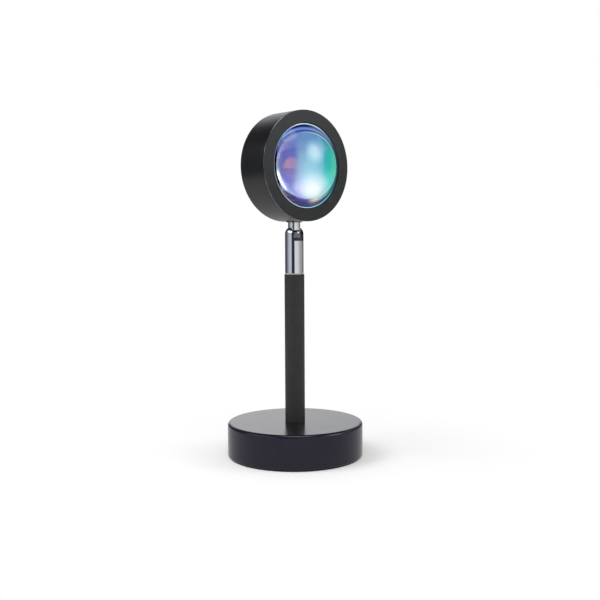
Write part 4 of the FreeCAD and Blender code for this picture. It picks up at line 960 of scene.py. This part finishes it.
class LAMP_OT_stage(bpy.types.Operator):
    """Pale floor, soft light and the camera"""
    bl_idname = "lamp.stage"
    bl_label = "Stage"

    def execute(self, context):
        stage = context.scene.lamp_stage
        self.floor()
        self.surroundings(context.scene, stage)
        self.lights(stage)
        self.camera(context.scene, stage)
        context.scene.view_settings.view_transform = "Standard"
        return {"FINISHED"}

    def floor(self):
        """A pale round floor that keeps the lamp's shadow near by and is plain white further off."""
        bm = bmesh.new()
        bmesh.ops.create_circle(bm, cap_ends=True, segments=96, radius=FLOOR_RADIUS)
        floor = as_object(bm, "stage_floor")
        s = Shader("pale_floor")
        out = s.tree.nodes["Material Output"]
        s.tree.nodes.remove(s.surface)
        seen, mirrored = s.rays()
        away = s.node("ShaderNodeVectorMath", {"operation": "LENGTH"}, Vector=s.coordinates).outputs["Value"]
        matt = s.node("ShaderNodeBsdfDiffuse", Color=FLOOR_COLOUR).outputs["BSDF"]
        lift = s.node("ShaderNodeEmission", Strength=s.math("MULTIPLY", seen, FLOOR_LIFT)).outputs["Emission"]
        near = s.node("ShaderNodeAddShader", i0=matt, i1=lift).outputs["Shader"]
        white = s.node("ShaderNodeEmission", Strength=1.0).outputs["Emission"]
        far = s.node("ShaderNodeMixShader", i0=seen, i1=matt, i2=white).outputs["Shader"]
        whole = s.node("ShaderNodeMixShader", i0=s.ramp(away, *FLOOR_FADE), i1=near, i2=far).outputs["Shader"]
        in_gloss = s.node("ShaderNodeEmission", Strength=FLOOR_IN_GLOSS).outputs["Emission"]
        whole = s.node("ShaderNodeMixShader", i0=mirrored, i1=whole, i2=in_gloss).outputs["Shader"]
        s.feed(out.inputs["Surface"], whole)
        floor.data.materials.append(s.material)

    def surroundings(self, scene, stage):
        """White for the camera, softer light on matt surfaces, and a room with bright patches for gloss."""
        world = bpy.data.worlds.new("soft_studio")
        scene.world = world
        world.use_nodes = True
        g = Graph(world.node_tree)
        g.tree.nodes.clear()
        seen, mirrored = g.rays()
        sky = g.node("ShaderNodeTexCoord").outputs["Generated"]
        turned = g.node("ShaderNodeVectorRotate", {"rotation_type": "Z_AXIS"}, Vector=sky,
                        Angle=-stage.camera_azimuth).outputs["Vector"]
        split = g.node("ShaderNodeSeparateXYZ", Vector=turned).outputs
        height = split["Z"]
        bearing = g.math("ARCTAN2", split["X"], g.math("MULTIPLY", split["Y"], -1.0))
        degree = math.radians(1)
        room = g.bands(bearing, (
            (-180, (1.10, 1.10, 1.10)), (-166, (1.12, 1.12, 1.12)), (-156, (0.07, 0.075, 0.095)),
            (-112, (0.07, 0.075, 0.095)), (-92, (0.20, 0.215, 0.26)), (-66, (0.48, 0.51, 0.58)),
            (-37, (0.56, 0.59, 0.66)), (-30, (0.03, 0.035, 0.06)), (1, (0.03, 0.035, 0.06)),
            (7, (0.74, 0.74, 0.82)), (46, (0.70, 0.70, 0.74)), (66, (0.46, 0.47, 0.47)),
            (96, (0.33, 0.35, 0.33)), (125, (0.20, 0.21, 0.20)), (156, (0.12, 0.13, 0.12)),
            (166, (0.80, 0.80, 0.80)), (180, (1.0, 1.0, 1.0))), degree)
        room = g.mix(g.ramp(height, *ROOM_TOP), room, (0.06, 0.06, 0.07, 1.0))

        def patch(side, low, high):
            """A bright patch between two heights; side says where round the room it is."""
            return g.math("MULTIPLY", side, g.window(height, low, high, HEIGHT_BLUR))

        in_lens = g.spot(turned, toward(*LENS_PATCH[:2]), *LENS_PATCH[2:])
        overhead = g.spot(turned, toward(*TOP_PATCH[:2]), *TOP_PATCH[2:])
        on_knuckle = patch(g.window(bearing, -88 * degree, -38 * degree, 14 * degree), 0.38, 0.56)
        crescent = patch(g.window(bearing, 106 * degree, 122 * degree, 8 * degree), 0.4, 0.6)
        behind = patch(g.ramp(g.math("ABSOLUTE", bearing), 145 * degree, 158 * degree), 0.32, 0.55)
        bright, power = crescent, 0.0
        for spot, extra in ((in_lens, 3.0), (on_knuckle, 1.2), (overhead, 2.6), (behind, 0.3)):
            bright = g.math("MAXIMUM", bright, spot)
            power = g.math("ADD", power, g.math("MULTIPLY", spot, extra))
        power = g.math("ADD", power, 1.0)
        room = g.mix(bright, room, (0.92, 0.94, 1.0, 1.0))
        matt = g.node("ShaderNodeBackground", Strength=stage.daylight).outputs["Background"]
        white = g.node("ShaderNodeBackground", Strength=1.0).outputs["Background"]
        for background in (matt, white):
            background.node.inputs["Color"].default_value = (1.0, 1.0, 1.0, 1.0)
        lit = g.node("ShaderNodeBackground", Color=room, Strength=power).outputs["Background"]
        plain = g.node("ShaderNodeMixShader", i0=seen, i1=matt, i2=white).outputs["Shader"]
        whole = g.node("ShaderNodeMixShader", i0=mirrored, i1=plain, i2=lit).outputs["Shader"]
        g.node("ShaderNodeOutputWorld", Surface=whole)

    def lights(self, stage):
        """A soft key from above and behind, a fill on the right and one over the camera."""
        for name, place, width, power in LIGHTS:
            soft_box(name, place, LIGHT_TARGET, width, getattr(stage, power))

    def camera(self, scene, stage):
        """The camera, turned a little from the pole's axis, level but for a small pitch and roll."""
        data = bpy.data.cameras.new("camera")
        data.sensor_fit = "HORIZONTAL"
        data.sensor_width = SENSOR_WIDTH
        data.lens = stage.focal_length
        camera = bpy.data.objects.new("camera", data)
        scene.collection.objects.link(camera)
        place = Matrix.Rotation(stage.camera_azimuth, 4, "Z") @ Matrix.Translation(
            (0, -stage.camera_distance, stage.camera_height))
        aim = (Matrix.Rotation(-CAMERA_YAW, 4, "Z") @ Matrix.Rotation(math.pi / 2 - CAMERA_PITCH, 4, "X")
               @ Matrix.Rotation(CAMERA_ROLL, 4, "Z"))
        camera.matrix_world = place @ aim
        scene.camera = camera


# ---------------------------------------------------------------- panel and registration
STEPS = (LAMP_OT_base_cover, LAMP_OT_foot_pad, LAMP_OT_base_inside, LAMP_OT_pole, LAMP_OT_socket,
         LAMP_OT_ball, LAMP_OT_drum, LAMP_OT_ring, LAMP_OT_lens, LAMP_OT_light_engine, LAMP_OT_stage)
GROUPS = (("lamp_shape", LampShape), ("lamp_finish", LampFinish), ("lamp_stage", LampStage))


class LAMP_PT_pieces(bpy.types.Panel):
    """Lists the lamp's pieces and settings"""
    bl_idname = "LAMP_PT_pieces"
    bl_label = "Sunset Projection Lamp"
    bl_space_type = "VIEW_3D"
    bl_region_type = "UI"
    bl_category = "Lamp"

    def draw(self, context):
        for step in STEPS:
            self.layout.operator(step.bl_idname)
        for name, group in GROUPS:
            box = self.layout.box()
            for key in group.__annotations__:
                box.prop(getattr(context.scene, name), key)


CLASSES = (*(group for _, group in GROUPS), *STEPS, LAMP_PT_pieces)


def register():
    for cls in CLASSES:
        bpy.utils.register_class(cls)
    for name, group in GROUPS:
        setattr(bpy.types.Scene, name, bpy.props.PointerProperty(type=group))


def unregister():
    for name, _ in GROUPS:
        delattr(bpy.types.Scene, name)
    for cls in reversed(CLASSES):
        bpy.utils.unregister_class(cls)


def main():
    register()
    for step in STEPS:
        family, action = step.bl_idname.split(".")
        getattr(getattr(bpy.ops, family), action)()


if __name__ == "__main__":
    main()
